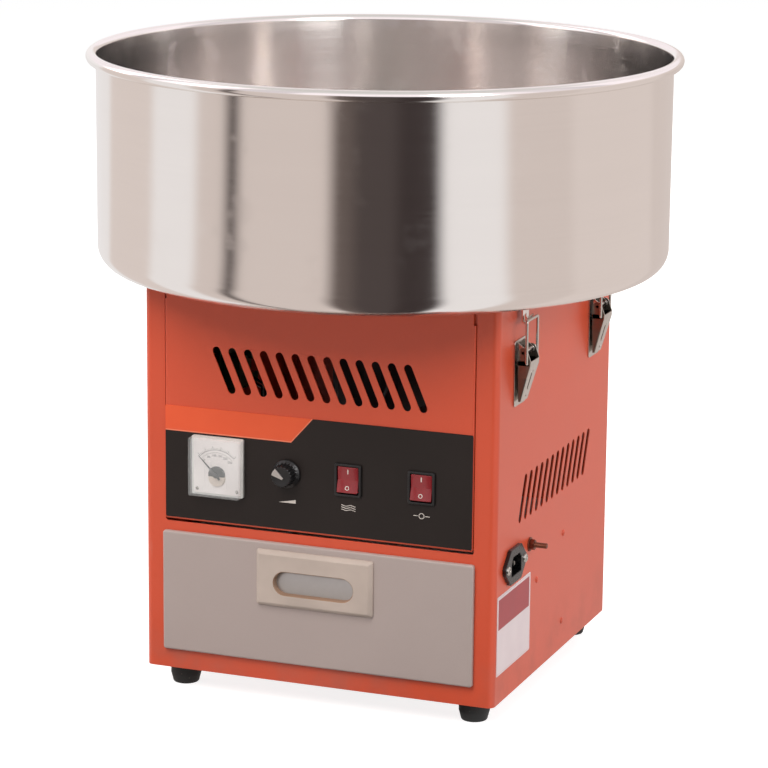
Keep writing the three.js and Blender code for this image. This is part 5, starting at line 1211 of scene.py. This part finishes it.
# %% [markdown]
# ## Knob and switches
# The knob's grip is fluted: its radius is R (1 - 0.075 c), where c is the part of |cos 9a| above a limit.
# A silver wedge on its top shows where it points, at ten o'clock.

# %% Heat knob
def fluted_knob():
    """18 flutes in the upright part: r = R (1 - 0.075 c), with c = ((|cos 9a| - 0.55) / 0.45)^1.5."""
    profile = in_mm([
        (12.0, 0.4), (12.5, 0.7), (12.5, 2.1), (12.1, 2.6), (10.3, 3.5), (9.9, 4.2), (9.7, 8), (9.5, 12.4),
        (9.1, 13.4), (8.4, 13.9), (7.6, 14.0), (7.0, 13.7), (0.0, 13.7)])
    angle = np.linspace(0, FULL, 216, endpoint=False)
    radius, height = profile[:, :1], profile[:, 1:]
    flute = np.clip((np.abs(np.cos(9 * angle)) - 0.55) / 0.45, 0, 1) ** 1.5
    depth = np.where((height > 3.9 * MM) & (radius > 8.8 * MM), 0.075, 0.0)
    return surface("knob", round_points(radius * (1 - depth * flute), height, angle), close_columns=True)


POINTS_AT, HALF_WEDGE = 150, 23
knob = at_control(fluted_knob(), KNOB_X)
handed(knob, "heat_knob_grip", knob_plastic, "heat_knob", "regulator_knob")
wedge_outline = np.concatenate([
    arc(0, 0, 8.6 * MM, POINTS_AT - HALF_WEDGE, POINTS_AT + HALF_WEDGE, 10),
    in_mm([(0.9, -2.2), (2.2, -0.9)])])
silver = plated("silver_inlay", shade(214, 212, 208), 0.35)
inlay = at_control(moved(blank("inlay", wedge_outline, (), 0.9 * MM, 0.12 * MM), z=13.5 * MM), KNOB_X)
added(inlay, "heat_knob_inlay", silver, "heat_knob")
print("knob with inlay, pointing", POINTS_AT, "degrees round from +X")

# %% [markdown]
# A rocker's face has two planes that meet in a shallow valley over its pivot. It is a bar whose section is
# drawn in (y, z), tilted as it rests, with its upper end pressed in. A ring and a stroke mark its ends.

# %% Rocker switches
def rocker_section():
    """Two planes from the valley to the ends, rounded at the ends, with a flat back."""
    return rounded_path(in_mm([
        (0, VALLEY), (HALF_FACE, HORN), (HALF_FACE, -2.2), (5.6, -4.4), (-5.6, -4.4), (-HALF_FACE, -2.2),
        (-HALF_FACE, HORN), (-0.01, VALLEY)]), 0.7 * MM)


def switch_case():
    """A bezel round a deep well, with four tabs behind it."""
    outline = rectangle(-12.25 * MM, -14.25 * MM, 12.25 * MM, 14.25 * MM, 1.6 * MM)
    bezel = blank("bezel", outline, [WELL_LOOP(0)], 2.4 * MM, 0.6 * MM)
    well = layers("well", WELL_LOOP, in_mm([(0, -8.7), (0, 2.0), (-0.6, 1.6), (-0.9, -20.5), (0, -21)]))
    tab_rows = in_mm([(0, -28), (0, -20.6)])
    tabs = [moved(layers("tab", box_loop(0.4 * MM, 3.1 * MM, 0.3 * MM), tab_rows), x * MM, y * MM)
            for x in (-5, 5) for y in (-6, 6)]
    return joined("case", bezel, well, *tabs)


def switch_paddle():
    """The rocker on its pins, about its own pivot."""
    face = bar("paddle", rocker_section(), 9.5 * MM, round_off=0.8, smooth=40)
    return joined("paddle", face, bar("pins", circle(0, 0, 1.5 * MM), 10.4 * MM))


def switch_signs():
    """A stroke and a ring, each laid on its own plane of the face."""
    stroke = blank("stroke", rectangle(-0.45 * MM, -2 * MM, 0.45 * MM, 2 * MM), (), *INK)
    ring = blank("ring", circle(0, 0, 1.9 * MM), [circle(0, 0, 1.3 * MM)], *INK)
    slope = math.atan2(HORN - VALLEY, HALF_FACE)
    for sign, side in ((stroke, 1), (ring, -1)):
        spot = Matrix.Translation((0, side * 7 * MM, 4.74 * MM))
        placed(sign, spot @ Matrix.Rotation(side * slope, 4, "X"))
    return joined("signs", stroke, ring)


HALF_FACE, VALLEY, HORN = 11.2, 3.6, 5.4
WELL_LOOP = box_loop(9.9 * MM, 12.2 * MM, 1.2 * MM)
PIVOT_AT_REST = Matrix.Translation((0, 0, -2.2 * MM)) @ Matrix.Rotation(math.radians(-7), 4, "X")
for name, x in zip(("heat", "motor"), SWITCH_XS):
    rocker = f"{name}_rocker"
    handed(at_control(switch_case(), x), f"{name}_switch_bezel", black_plastic,
           node=f"{name}_switch_case")
    paddle, signs = (
        at_control(placed(make(), PIVOT_AT_REST), x) for make in (switch_paddle, switch_signs))
    handed(paddle, f"{rocker}_paddle", rocker_red, rocker, rocker)
    added(signs, f"{rocker}_signs", pale_print, rocker)
print("two rocker switches")

# %% [markdown]
# ## The drawer
# The drawer's front is a shallow pan: a flat face with a rounded turned-back edge. The pull is a bevelled
# plate with a cup in it, which goes through the front.

# %% Drawer's front and pull
drawer_low, drawer_high = box_of("drawer_front")
FACE_X, FACE_LOW, FACE_TOP, DRAWER_FACE = drawer_high[0], drawer_low[2], drawer_high[2], drawer_low[1]
FACE_Z = (FACE_LOW + FACE_TOP) / 2
CUP_Z, PULL_Z = 111.55 * MM, 114.55 * MM
CUP_DROP = CUP_Z - PULL_Z


def cup_loop(inset):
    """The cup's outline: two half circles and the straight runs between them, drawn in by the inset."""
    radius = 10 * MM - inset
    return np.concatenate([arc(26.5 * MM, 0, radius, -90, 90, 10), arc(-26.5 * MM, 0, radius, 90, 270, 10)])


face_loop = box_loop(FACE_X, (FACE_TOP - FACE_LOW) / 2, 2.4 * MM)
edge_rows = in_mm([
    (1.8, 4.0), (1.0, 3.87), (0.4, 3.4), (0.1, 2.8), (0, 2.0), (0, 0), (1.2, 0), (1.2, 2.2), (1.8, 2.8),
    (2.4, 2.9)])
edge = layers("edge", face_loop, edge_rows, smooth=50, caps=False)
cup_hole = cup_loop(-2 * MM) + np.array([0, CUP_Z - FACE_Z])
plate = moved(blank("plate", face_loop(1.7 * MM), [cup_hole], 1.2 * MM, 0.02 * MM), z=2.8 * MM)
drawer_face = facing(joined("face", edge, plate), "front", 0, DRAWER_FACE + 4 * MM, FACE_Z)
handed(drawer_face, "drawer_front_pan", drawer_paint, "drawer", "drawer_front")

pull_loop = box_loop(54 * MM, 25 * MM, 2.5 * MM)
pull_rows = in_mm([(3.8, 5.0), (3.2, 4.9), (0.5, 1.9), (0.1, 1.4), (0, 0.9), (0, 0), (2, 0)])
pull_edge = layers("pull", pull_loop, pull_rows, smooth=40, caps=False)
pull_hole = cup_loop(-0.9 * MM) + np.array([0, CUP_DROP])
pull_face = moved(blank("pull", pull_loop(3.7 * MM), [pull_hole], 0.6 * MM, 0.01 * MM), z=4.4 * MM)
cup_rows = in_mm([
    (4, -9.0), (1.4, -8.9), (0.5, -8.3), (0.1, -7.2), (0, 2.5), (-0.15, 4.0), (-0.5, 4.6), (-1.0, 4.8),
    (-1.6, 3.6), (-1.6, -9.6), (-0.8, -10.6)])
cup = moved(layers("cup", cup_loop, cup_rows, smooth=50), y=CUP_DROP)
pull, cup = (facing(piece, "front", 0, DRAWER_FACE - 0.05 * MM, PULL_Z)
             for piece in (joined("pull", pull_edge, pull_face), cup))
handed(pull, "drawer_pull", pull_plastic, "drawer", "drawer_handle")
# The cup's darker colour is painted shade in its hollow.
added(cup, "drawer_pull_cup", cup_painted_shade, "drawer")
print("drawer's front with its pull and cup")

# %% [markdown]
# The box behind the front is folded from plated sheet and open at the top. Its layers go up inside and come
# down outside, so the sheet has its thickness and the rim is rounded.

# %% Drawer's box

box_low, box_high = box_of("drawer_box")
box_middle_y = (box_low[1] + box_high[1]) / 2
box_shape = box_loop((box_high[0] - box_low[0]) / 2, (box_high[1] - box_low[1]) / 2, 3 * MM)
floor_z, rim_z = box_low[2], box_high[2]
box_rows = [
    (3 * MM, floor_z + 1.2 * MM), (1.8 * MM, floor_z + 1.5 * MM), (1.2 * MM, floor_z + 2.4 * MM),
    (1.2 * MM, rim_z - 0.3 * MM), (0.9 * MM, rim_z), (0.3 * MM, rim_z), (0, rim_z - 0.3 * MM),
    (0, floor_z + 2 * MM), (0.6 * MM, floor_z + 0.6 * MM), (2 * MM, floor_z)]
drawer_box = moved(layers("box", box_shape, box_rows, smooth=50), y=box_middle_y)
handed(drawer_box, "drawer_tray", zinc_sheet, "drawer", "drawer_box")
print("drawer's box:", np.round((box_high - box_low) / MM, 1), "mm")

# %% [markdown]
# The drawer slides on two runners of plated sheet. Each is a shelf with an upright wall and a guide strip,
# bent or welded to a riser that is riveted to the housing's side. The left runner mirrors the right one.

# %% Drawer runners
LENGTHWISE = Matrix.Rotation(math.pi / 2, 4, "Z")
INWARDS = Matrix.Scale(-1, 4, (0, 0, 1))


def runner():
    """Strips drawn in (-x, z) on bars that are turned to lie along y, and a riser with two rivets' heads."""
    shelf = rounded_path(in_mm([(-125.7, 45.2), (-159.6, 45.2), (-159.6, 61.8)]), 2 * MM)
    guide = in_mm([
        (-137.3, 45.4), (-136.1, 45.4), (-136.1, 53.7), (-136.4, 53.9), (-137.0, 53.9), (-137.3, 53.7)])
    strips = [placed(bar("strip", section, 142 * MM, -2.6 * MM), LENGTHWISE)
              for section in (strip_section(shelf, 1.2 * MM), guide)]
    riser = blank("riser", rectangle(-57 * MM, 32.5 * MM, 49 * MM, 132.4 * MM, 4 * MM), (), 1.1 * MM)
    heads = [placed(moved(dome("head", 2.8 * MM, 1.1 * MM), y * MM, z * MM), INWARDS)
             for y, z in RUNNER_RIVETS[1:]]
    plate = facing(joined("plate", riser, *heads), "right", 159.05 * MM, 0, 0)
    return joined("runner", *strips, plate)


handed(runner(), "runner_right", zinc_sheet, node="drawer_runner_right")
left_runner = placed(runner(), Matrix.Scale(-1, 4, (1, 0, 0)))
handed(left_runner, "runner_left", zinc_sheet, node="drawer_runner_left")
print("runners:", len(left_runner.data.polygons), "faces each")

# %% [markdown]
# ## The right side
# The mains inlet is a moulding with two ears and a well with three blades, held by two screws. Its outline
# is a square and its ears, drawn round with one convex line.

# %% Mains inlet
INLET_OUT, EAR_X, FLANGE = 161.8 * MM, 22 * MM, 3.4 * MM


def ear_outline():
    """Arcs round the ears' screws and round the square's corners, joined by straight lines."""
    ear, corner, spot = 5.6 * MM, 3 * MM, 12.5 * MM
    return np.concatenate([
        arc(EAR_X, 0, ear, -62, 62, 8), arc(spot, spot, corner, 62, 90, 3),
        arc(-spot, spot, corner, 90, 118, 3), arc(-EAR_X, 0, ear, 118, 242, 8),
        arc(-spot, -spot, corner, 242, 270, 3), arc(spot, -spot, corner, 270, 298, 3)])


def socket_loop(inset):
    """The well's six-sided outline, drawn in towards its middle."""
    w, h, cut = 12.2 * MM - inset, 8.2 * MM - inset, 4.1 * MM
    return np.array([(-w, -h), (w, -h), (w, h - cut), (w - cut, h), (-w + cut, h), (-w, h - cut)])


inlet_face = blank("inlet", ear_outline(), [socket_loop(-0.2 * MM)], FLANGE, 0.5 * MM)
well_rows = in_mm([(0, -11.6), (0, 2.9), (-1.6, 2.4), (-1.6, -18.6), (-1.2, -19)])
inlet = joined("inlet", inlet_face, layers("well", socket_loop, well_rows))

blade_profile = in_mm([(0, -12), (0, -1.6), (0.3, -0.8), (0.6, -0.6)])
blades = [moved(layers("blade", box_loop(1 * MM, 2 * MM, 0.3 * MM), blade_profile), x * MM, z * MM)
          for x, z in ((-7, -1), (7, -1), (0, 3))]
screws = [moved(pan_screw(SCREW_RADIUS, SCREW_HEIGHT), x, 0, FLANGE) for x in (-EAR_X, EAR_X)]
inlet, blades, screws = (
    facing(piece, "right", INLET_OUT, INLET_Y, INLET_Z)
    for piece in (inlet, joined("blades", *blades), joined("screws", *screws)))
handed(inlet, "inlet_moulding", inlet_plastic, node="power_inlet")
added(blades, "inlet_blades", zinc_screw)
added(screws, "inlet_screws", zinc_screw)
print("inlet with 3 blades and 2 screws")

# %% [markdown]
# Behind the inlet stands the earth stud with its nuts and washer. Its thread is a helix: r = R - depth * s,
# where s grows with the distance of h / pitch - a / 2 pi from the nearest whole number.

# %% Earth stud
def threaded(name, radius, start, end, pitch, depth, segments=32):
    """A threaded rod: its radius falls by the depth half a pitch away from the helix, and its ends taper."""
    height = np.arange(start, end, pitch / 6)[:, None]
    angle = np.linspace(0, FULL, segments, endpoint=False)
    way = height / pitch - angle / FULL
    shape = np.abs(way - np.round(way)) * 2
    taper = np.clip((end - height) / (1.2 * pitch), 0, 1)
    points = round_points(radius - depth * (1 - (1 - shape) * taper), height, angle)
    return surface(name, points, close_columns=True, caps=True, smooth=50)


def hex_nut(name, radius, low, high):
    """A hexagon whose corners are chamfered by a cone: the loop's reach is cut to a circle at both ends."""
    angle = np.linspace(0, FULL, 48, endpoint=False)
    flat = radius * math.cos(math.pi / 6) / np.cos((angle + math.pi / 6) % (math.pi / 3) - math.pi / 6)
    chamfer = 0.12 * (high - low)
    limit = np.array([0.9, 1.0, 1.0, 0.9])[:, None]
    height = np.array([low, low + chamfer, high - chamfer, high])[:, None]
    points = round_points(np.minimum(flat, radius * limit), height, angle)
    return surface(name, points, close_columns=True, caps=True, smooth=25)


stud = joined(
    "stud", threaded("thread", 2.5 * MM, -7 * MM, 16 * MM, 0.8 * MM, 0.35 * MM),
    hex_nut("nut", 4.8 * MM, 1.0 * MM, 5.0 * MM), hex_nut("nut", 4.8 * MM, -5.6 * MM, -1.6 * MM),
    turned("washer", in_mm([(2.6, 0), (6, 0), (6.2, 0.2), (6.2, 0.8), (6, 1), (2.6, 1)]), 40, closed=True))
facing(stud, "right", INLET_OUT, -61 * MM, 142.05 * MM)
handed(stud, "earth_stud_turned", brass_stud, node="earth_stud")
print("earth stud:", len(stud.data.polygons), "faces")

# %% [markdown]
# A thin bare plate is stuck on low down near the front corner, in two colours: a dark red upper part and a
# white lower part, with a fine frame. The print is a mask again. It is worked out from the inset, which is
# how far a point is from the nearest edge of the plate.

# %% Bare plate
PLATE_LOW, PLATE_HIGH = np.array([-144.2 * MM, 46 * MM]), np.array([-57.2 * MM, 116.5 * MM])
PLATE_MIDDLE, PLATE_HALF = (PLATE_LOW + PLATE_HIGH) / 2, (PLATE_HIGH - PLATE_LOW) / 2
HEADER_Z, HEADER_INSET, FRAME_INSET = 86.5 * MM, 3.2 * MM, 1.6 * MM
FIELD_EDGE, LINE_EDGE = 4000, 5000


def plate_print():
    """inset = the smaller of half - |y - middle| and half - |z - middle|."""
    ink = Recipe("plate_print")
    _, *place = ink.axes()
    across, upwards = (
        (way - middle).size() * -1 + half for way, middle, half in zip(place, PLATE_MIDDLE, PLATE_HALF))
    inset = across.least(upwards)
    above, within = (
        (way * FIELD_EDGE + 0.5).held() for way in (place[1] - HEADER_Z, inset - HEADER_INSET))
    frame_line = ((inset - FRAME_INSET).size() * -LINE_EDGE + 1.4).held()
    cloud = ink.noise(30, 3)
    white = ink.mix(cloud, shade(214, 196, 200), shade(232, 218, 218))
    red = ink.mix(cloud, shade(150, 50, 58), shade(172, 66, 70))
    return ink.done(
        Base_Color=ink.mix(frame_line * 0.5, ink.mix(above * within, white, red), shade(205, 120, 118)),
        Roughness=(cloud - 0.5) * 0.1 + 0.4, Normal=ink.bump(ink.noise(900, 2), 0.02 * MM, 0.5))


plate_outline = rectangle(*PLATE_LOW, *PLATE_HIGH, 1.5 * MM)
side_plate = facing(blank("plate", plate_outline, (), 0.3 * MM, 0.08 * MM), "right", SIDE, 0, 0)
added(side_plate, "bare_side_plate", plate_print())
print("bare plate on the right side")

# %% [markdown]
# ## The latches
# Each latch is a base with two ears, a channel-shaped lever on a pin through them, and a wire loop that
# hooks over a keeper under the bowl. The lever's section is a U: it is worked out at many heights at once,
# from its half width, its outer face and its inner edge there.

# %% Latch pieces
PIN_OUT, PIN_Z = 7 * MM, 322.05 * MM
LOOP_OUT, LOOP_Z, LOOP_TOP, LOOP_HALF = 11 * MM, 313.05 * MM, 350.05 * MM, 13.7 * MM
LEVER_LOW, LEVER_SHOULDER, LEVER_TOP, LEVER_RISE = 279.05, 311.05, 315.05, 8.9


def channel(name, stations, sheet, radius, steps=5):
    """U sections (x, z) at heights y. A station is (y, half width, outer face, inner edge)."""
    height, half, outer, inner = np.array(stations).T[..., None]
    bend = np.radians(np.linspace(180, 90, steps + 1))[None, :]
    left = half - radius
    outside_x = np.concatenate([-half, -left + radius * np.cos(bend)], axis=1)
    outside_z = np.concatenate([inner, outer - radius + radius * np.sin(bend)], axis=1)
    tight = radius - sheet
    inside_x = np.concatenate([-half + sheet, -left + tight * np.cos(bend)], axis=1)
    inside_z = np.concatenate([inner, outer - radius + tight * np.sin(bend)], axis=1)
    x = np.concatenate([outside_x, -outside_x[:, ::-1], -inside_x, inside_x[:, ::-1]], axis=1)
    z = np.concatenate([outside_z, outside_z[:, ::-1], inside_z, inside_z[:, ::-1]], axis=1)
    points = np.stack([x, np.broadcast_to(height, x.shape), z], axis=2)
    return surface(name, points, close_columns=True, caps=True, smooth=40)


def cheek_plate(x):
    """One cheek round the pin: a plate in (y, z) whose upper end is an arc about the pin."""
    outline = np.concatenate([
        arc(PIN_Z, PIN_OUT, 4.4 * MM, 90, -90, 16),
        in_mm([(300, 2.6), (300, 10.5), (LEVER_SHOULDER, 13.6), (LEVER_TOP, 14.0)])])
    return bar("cheek", outline, 0.6 * MM, x, 0.15)


def latch_base():
    """A plate, two ears whose tops are arcs about the pin, the pin, and two rivets."""
    outline = rectangle(-15 * MM, 275.05 * MM, 15 * MM, 332.05 * MM, 3 * MM)
    plate = blank("base", outline, (), 1.2 * MM, 0.25 * MM)
    foot = 0.2 * MM
    ear = np.concatenate([
        [(PIN_Z - 9 * MM, foot)], arc(PIN_Z, PIN_OUT, 3.2 * MM, 150, 30, 10), [(PIN_Z + 9 * MM, foot)]])
    ears = [bar("ear", ear, 0.6 * MM, x * MM, 0.15) for x in (-9, 9)]
    pin = bar("pin", circle(PIN_Z, PIN_OUT, 1.6 * MM), 11.6 * MM)
    rivets = [moved(dome("rivet", 3 * MM, 1.3 * MM), y=z * MM, z=1.2 * MM) for z in (289.05, 306.05)]
    return joined("base", plate, *ears, pin, *rivets)


def latch_lever():
    """A channel that widens and rises from its tip to its shoulder, with cheeks, a rib and a button."""
    low, high = LEVER_LOW, LEVER_SHOULDER
    heights = np.concatenate([[low, low + 0.4], np.linspace(low + 1.5, high - 1.5, 14), [high, LEVER_TOP]])
    share = np.clip((heights - low) / (high - low), 0, 1)
    stations = np.column_stack([heights, 9 + 2.6 * share, 5.4 + LEVER_RISE * share, 2.6 + 0 * share])
    web = channel("web", in_mm(stations), 1.2 * MM, 2 * MM)
    cheeks = [cheek_plate(x * MM) for x in (-11.0, 11.0)]
    tip = bar("tip", in_mm([(279.3, 2.8), (284.05, 2.8), (284.05, 5.2), (279.3, 4.0)]), 8.2 * MM, 0, 0.4)
    slope = Matrix.Rotation(math.atan2(LEVER_RISE, high - low), 4, "X")
    rib_rows = in_mm([(0, -0.3), (0.1, 0.3), (0.6, 0.6), (1.2, 0.7)])
    rib = layers("rib", box_loop(3.2 * MM, 9 * MM, 3.1 * MM), rib_rows)
    placed(rib, Matrix.Translation((0, 297 * MM, 10.45 * MM)) @ slope)
    button = dome("button", 1.5 * MM, 0.8 * MM)
    placed(button, Matrix.Translation((0, 283.6 * MM, 6.7 * MM)) @ slope)
    return joined("lever", web, *cheeks, tip, rib, button)


def latch_loop():
    """A wire loop, open where its ends go into the cheeks."""
    open_half = 10.6 * MM
    path = rounded_path([
        (-open_half, LOOP_Z), (-LOOP_HALF, LOOP_Z), (-LOOP_HALF, LOOP_TOP), (LOOP_HALF, LOOP_TOP),
        (LOOP_HALF, LOOP_Z), (open_half, LOOP_Z)], 2.0 * MM)
    return moved(wire("loop", path, 1.3 * MM), z=LOOP_OUT)


print("helpers: channel, cheek_plate, latch_base, latch_lever, latch_loop")

# %% [markdown]
# Two latches stand on each side, mirrored. The faces of a lever that look forwards or backwards get a finish
# of their own: it is rougher, and its darker colour is painted shade on those faces.

# %% Four latches
ENDS = (("front", -98 * MM), ("rear", 108 * MM))
LATCHES = [(side, x, end, y) for side, x in (("left", -SIDE), ("right", SIDE)) for end, y in ENDS]
for side, x, end, y in LATCHES:
    spot = f"{side}_{end}"
    plate, lever, loop = (facing(make(), side, x, y, 0) for make in (latch_base, latch_lever, latch_loop))
    handed(plate, f"latch_plate_{spot}", latch_steel, node=f"latch_base_{spot}")
    handed(lever, f"latch_handle_{spot}", latch_steel, f"lever_{spot}", f"latch_lever_{spot}")
    handed(loop, f"latch_wire_{spot}", latch_steel, f"loop_{spot}", f"latch_loop_{spot}")
    # The darker finish on the faces that look forwards or backwards is painted shade.
    further_finish(lever, latch_painted_shade, np.abs(rows_of(lever.data.polygons, "normal")[:, 1]) > 0.8)
print("latches:", len(LATCHES))

# %% [markdown]
# ## The bowl
# The bowl is spun: one profile carried round the axis, from the collar of its hole out along the floor,
# round the corner, up the wall and round the rolled rim, whose inner side runs straight into the wall's,
# and back inside at the sheet's thickness. Its outside, its inner wall and its floor were brushed one after
# the other, so each has its own finish. Four keepers of bent strip are welded under the floor, and each weld
# shows as two small round marks.

# %% Bowl
BOWL_Z, BOWL_SHEET = bowl_high[2] - 188 * MM, 1.2 * MM
WALL, CORNER, HOLE = 251.2 * MM, 18 * MM, 92 * MM
RIM, RIM_Z, ROLL = 255 * MM, BOWL_Z + 183 * MM, 5 * MM


def bowl_profile():
    """(radius, height) points: outer side first, then the rim's roll, then the inner side."""
    inside, floor_z, collar_z, edge = WALL - BOWL_SHEET, BOWL_Z + BOWL_SHEET, BOWL_Z + 11 * MM, 0.6 * MM
    floor_corner = (WALL - CORNER, BOWL_Z + CORNER)
    collar = [(96 * MM, floor_z), (HOLE + BOWL_SHEET, floor_z), (HOLE + BOWL_SHEET, collar_z)]
    return np.concatenate([
        [(HOLE, BOWL_Z + edge), (HOLE + edge, BOWL_Z)],
        [(r * MM, BOWL_Z) for r in (118, 140, 170, 200)],
        arc(*floor_corner, CORNER, -90, 0, 12),
        [(WALL, BOWL_Z + z * MM) for z in (40, 80, 120, 160, 176)],
        arc(RIM, RIM_Z, ROLL, -139.5, 180, 32),
        [(inside, BOWL_Z + z * MM) for z in (160, 120, 80, 40)],
        arc(*floor_corner, CORNER - BOWL_SHEET, 0, -90, 12),
        [(r * MM, floor_z) for r in (200, 170, 140, 100)],
        rounded_path(collar, 2 * MM, 4),
        [(HOLE + edge, collar_z + 0.2 * MM), (HOLE, collar_z)]])


def keeper():
    """A hook bent from strip, in (y, z) on a bar: foot under the floor, stem down, lip out and up."""
    corners = in_mm([(-6.7, 367.05), (4.7, 367.05), (4.7, 346.95), (8.7, 346.95), (8.7, 352.5)])
    return bar("keeper", strip_section(rounded_path(corners, 1.4 * MM), 1.2 * MM), 8 * MM, round_off=0.4)


bowl = turned("bowl", bowl_profile(), 256, closed=True, smooth=50)
hooks, welds = [], []
for side, x, end, y in LATCHES:
    outwards = 1 if side == "right" else -1
    turn = Matrix.Rotation(-outwards * math.pi / 2, 4, "Z")
    hooks.append(placed(keeper(), Matrix.Translation((x, y, 0)) @ turn))
    for across in (-4.5, 4.5):
        weld = dome("weld", 1.8 * MM, 0.25 * MM)
        welds.append(moved(weld, x - outwards * 2 * MM, y + across * MM, BOWL_Z + BOWL_SHEET))
bowl = joined("bowl", bowl, *hooks, *welds)
handed(bowl, "spun_bowl", bowl_steel, "bowl", "bowl")
print("bowl:", len(bowl.data.polygons), "faces,", len(hooks), "keepers")

# %% [markdown]
# The faces of the floor are those whose normal is steep. The faces of the inner wall stand far out, and
# their normal looks back to the axis: its part along the face's own direction from the axis is negative.

# %% Finishes of floor and inner wall
STEEP, FAR_OUT = 0.7, 240 * MM
normal = rows_of(bowl.data.polygons, "normal")
middle = rows_of(bowl.data.polygons, "center")[:, :2]
distance = np.linalg.norm(middle, axis=1)
inwards = -(normal[:, :2] * middle).sum(axis=1) / distance
floor_faces, wall_faces = np.abs(normal[:, 2]) > STEEP, (distance > FAR_OUT) & (inwards > STEEP)
further_finish(bowl, bowl_floor_steel, floor_faces)
further_finish(bowl, bowl_inside_steel, wall_faces)
print("bowl's floor:", floor_faces.sum(), "faces, inner wall:", wall_faces.sum())

# %% [markdown]
# The bowl stands on a rubber ring with rounded edges, which lies on the housing's top.

# %% Bowl's seal
gasket = turned("gasket", in_mm([
    (119.6, 364.1), (127.4, 364.1), (128, 364.6), (128, 367.0), (127.2, 367.6), (119.8, 367.6), (119, 367.0),
    (119, 364.6)]), 128, closed=True)
handed(gasket, "bowl_seal", foot_rubber, node="bowl_gasket")
print("seal:", len(gasket.data.polygons), "faces")

# %% [markdown]
# ## The spinning head
# Sugar goes in through the neck of the head, melts at the heater's ring inside it, and flies out through
# the fine slots of the band. The base and the cover are turned with shallow rings, the band is two hoops
# with many thin staves between them, and three cap nuts hold it all together.

# %% Head's base and band
ROUND = 160
head_base = turned("base", in_mm([
    (0, 370.05), (11.6, 370.05), (12, 370.5), (12, 385.2), (13, 386.05), (30, 386.05), (30.5, 385.7),
    (33.5, 385.7), (34, 386.05), (71, 386.05), (73.6, 386.4), (74, 387), (74, 392.6), (73.6, 393.05),
    (73.5, 392.6), (73.5, 389.6), (73.0, 389.05), (12, 389.05), (6, 389.05), (4.2, 389.05), (0, 389.05)]),
    ROUND)
handed(head_base, "head_plate", head_aluminium, "spinner", "head_base")

hoop = in_mm([(70.4, 0), (72, 0), (72, 3.4), (70.4, 3.4)])
hoops = [moved(turned("hoop", hoop, ROUND, closed=True), z=z * MM) for z in (389.15, 412.6)]
stave = layers("stave", box_loop(0.75 * MM, 0.95 * MM, 0.2 * MM), in_mm([(0, 392.4), (0, 412.7)]))
moved(stave, x=71.2 * MM)
STAVES = 140
staves = repeated("staves", stave, [Matrix.Rotation(FULL * i / STAVES, 4, "Z") for i in range(STAVES)])
band = joined("band", *hoops, staves)
handed(band, "slotted_band", head_aluminium, "spinner", "floss_band")
print("head: base, band with", STAVES, "staves")

# %% [markdown]
# The cover's profile runs up over its steps to the neck and back down inside it. Three rods stand on a
# circle between base and cover, each with a cap nut.

# %% Head's cover
NUT_CIRCLE = 62 * MM
head_cover = turned("cover", in_mm([
    (21.2, 441.0), (22.2, 441.15), (22.8, 440.6), (22.8, 435.6), (23.4, 434.4), (39, 426.9), (39.5, 426.2),
    (41, 425.9), (41.5, 425.6), (54.6, 419.3), (56.4, 418.4), (60, 418.15), (71.2, 418.15), (72.2, 417.8),
    (72.4, 417.2), (72.2, 416.4), (71.6, 416.15), (58, 416.15), (55, 416.9), (22.4, 432.7), (21.2, 434),
    (21, 436), (21, 440.6)]), ROUND, closed=True, smooth=40)
studs = []
for i in range(3):
    a = math.radians(30 + 120 * i)
    nut = joined(
        "nut", hex_nut("nut", 5 * MM, 418.15 * MM, 422.6 * MM),
        turned("cap", in_mm([(4.1, 422.4), (4.1, 424.2), (3.4, 426), (2, 426.8), (0, 427)]), 32),
        turned("rod", in_mm([(0, 389.2), (2, 389.2), (2, 417.2), (0, 417.2)]), 20))
    studs.append(moved(nut, NUT_CIRCLE * math.cos(a), NUT_CIRCLE * math.sin(a)))
head_cover = joined("cover", head_cover, *studs)
handed(head_cover, "head_lid", head_aluminium, "spinner", "head_cover")
print("head's cover with", len(studs), "nuts")

# %% [markdown]
# ## The feet
# Each foot is a rubber cone with a sunk screw. Fine rings under it grip the table.

# %% Feet
FOOT_X, FOOT_WELL = 135.75 * MM, 13
foot_profile = in_mm([
    (13.1, 20), (13.5, 19.6), (13.5, 8.4), (13.2, 7.6), (11.5, 0.9), (10.9, 0.2), (10.4, 0), (9.7, 0),
    (9.5, 0.4), (8.9, 0.4), (8.7, 0), (8.0, 0), (7.8, 0.4), (7.2, 0.4), (7.0, 0), (5.6, 0), (5.0, 0.6),
    (5.0, FOOT_WELL), (0, FOOT_WELL)])
for side, x in (("left", -FOOT_X), ("right", FOOT_X)):
    for end, y in (("front", -124 * MM), ("rear", 144 * MM)):
        foot = moved(turned("foot", foot_profile), x, y)
        handed(foot, f"rubber_foot_{end}_{side}", foot_rubber, node=f"foot_{end}_{side}")
        screw = facing(pan_screw(SCREW_RADIUS, SCREW_HEIGHT), "below", x, y, FOOT_WELL * MM)
        added(screw, f"foot_screw_{end}_{side}", zinc_screw)
print("four feet")

# %% [markdown]
# ## The pieces inside
# What sits inside the housing keeps its construction form, which is already exact, and gets a finish.

# %% Finishes of the pieces inside
KEPT = {
    orange_paint: ["top_plate", "base_pan"],
    zinc_sheet: ["motor_bracket"],
    zinc_screw: ["regulator_body", "motor_shaft", "head_nut"],
    motor_paint: ["motor_body"],
    foot_rubber: ["motor_pad_left", "motor_pad_right"],
    black_plastic: ["cooling_fan", "wiring_loom"],
    brown_resin: ["slip_ring_hub", "brush_holder"],
    ring_brass: ["slip_ring_lower", "slip_ring_upper"],
    carbon_black: ["brush_lower", "brush_upper"],
    board_green: ["control_board"],
    heater_iron: ["heating_ring"],
}
for material, nodes in KEPT.items():
    for node in nodes:
        coated(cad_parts[node], material)
print("coated:", sum(len(nodes) for nodes in KEPT.values()), "nodes")
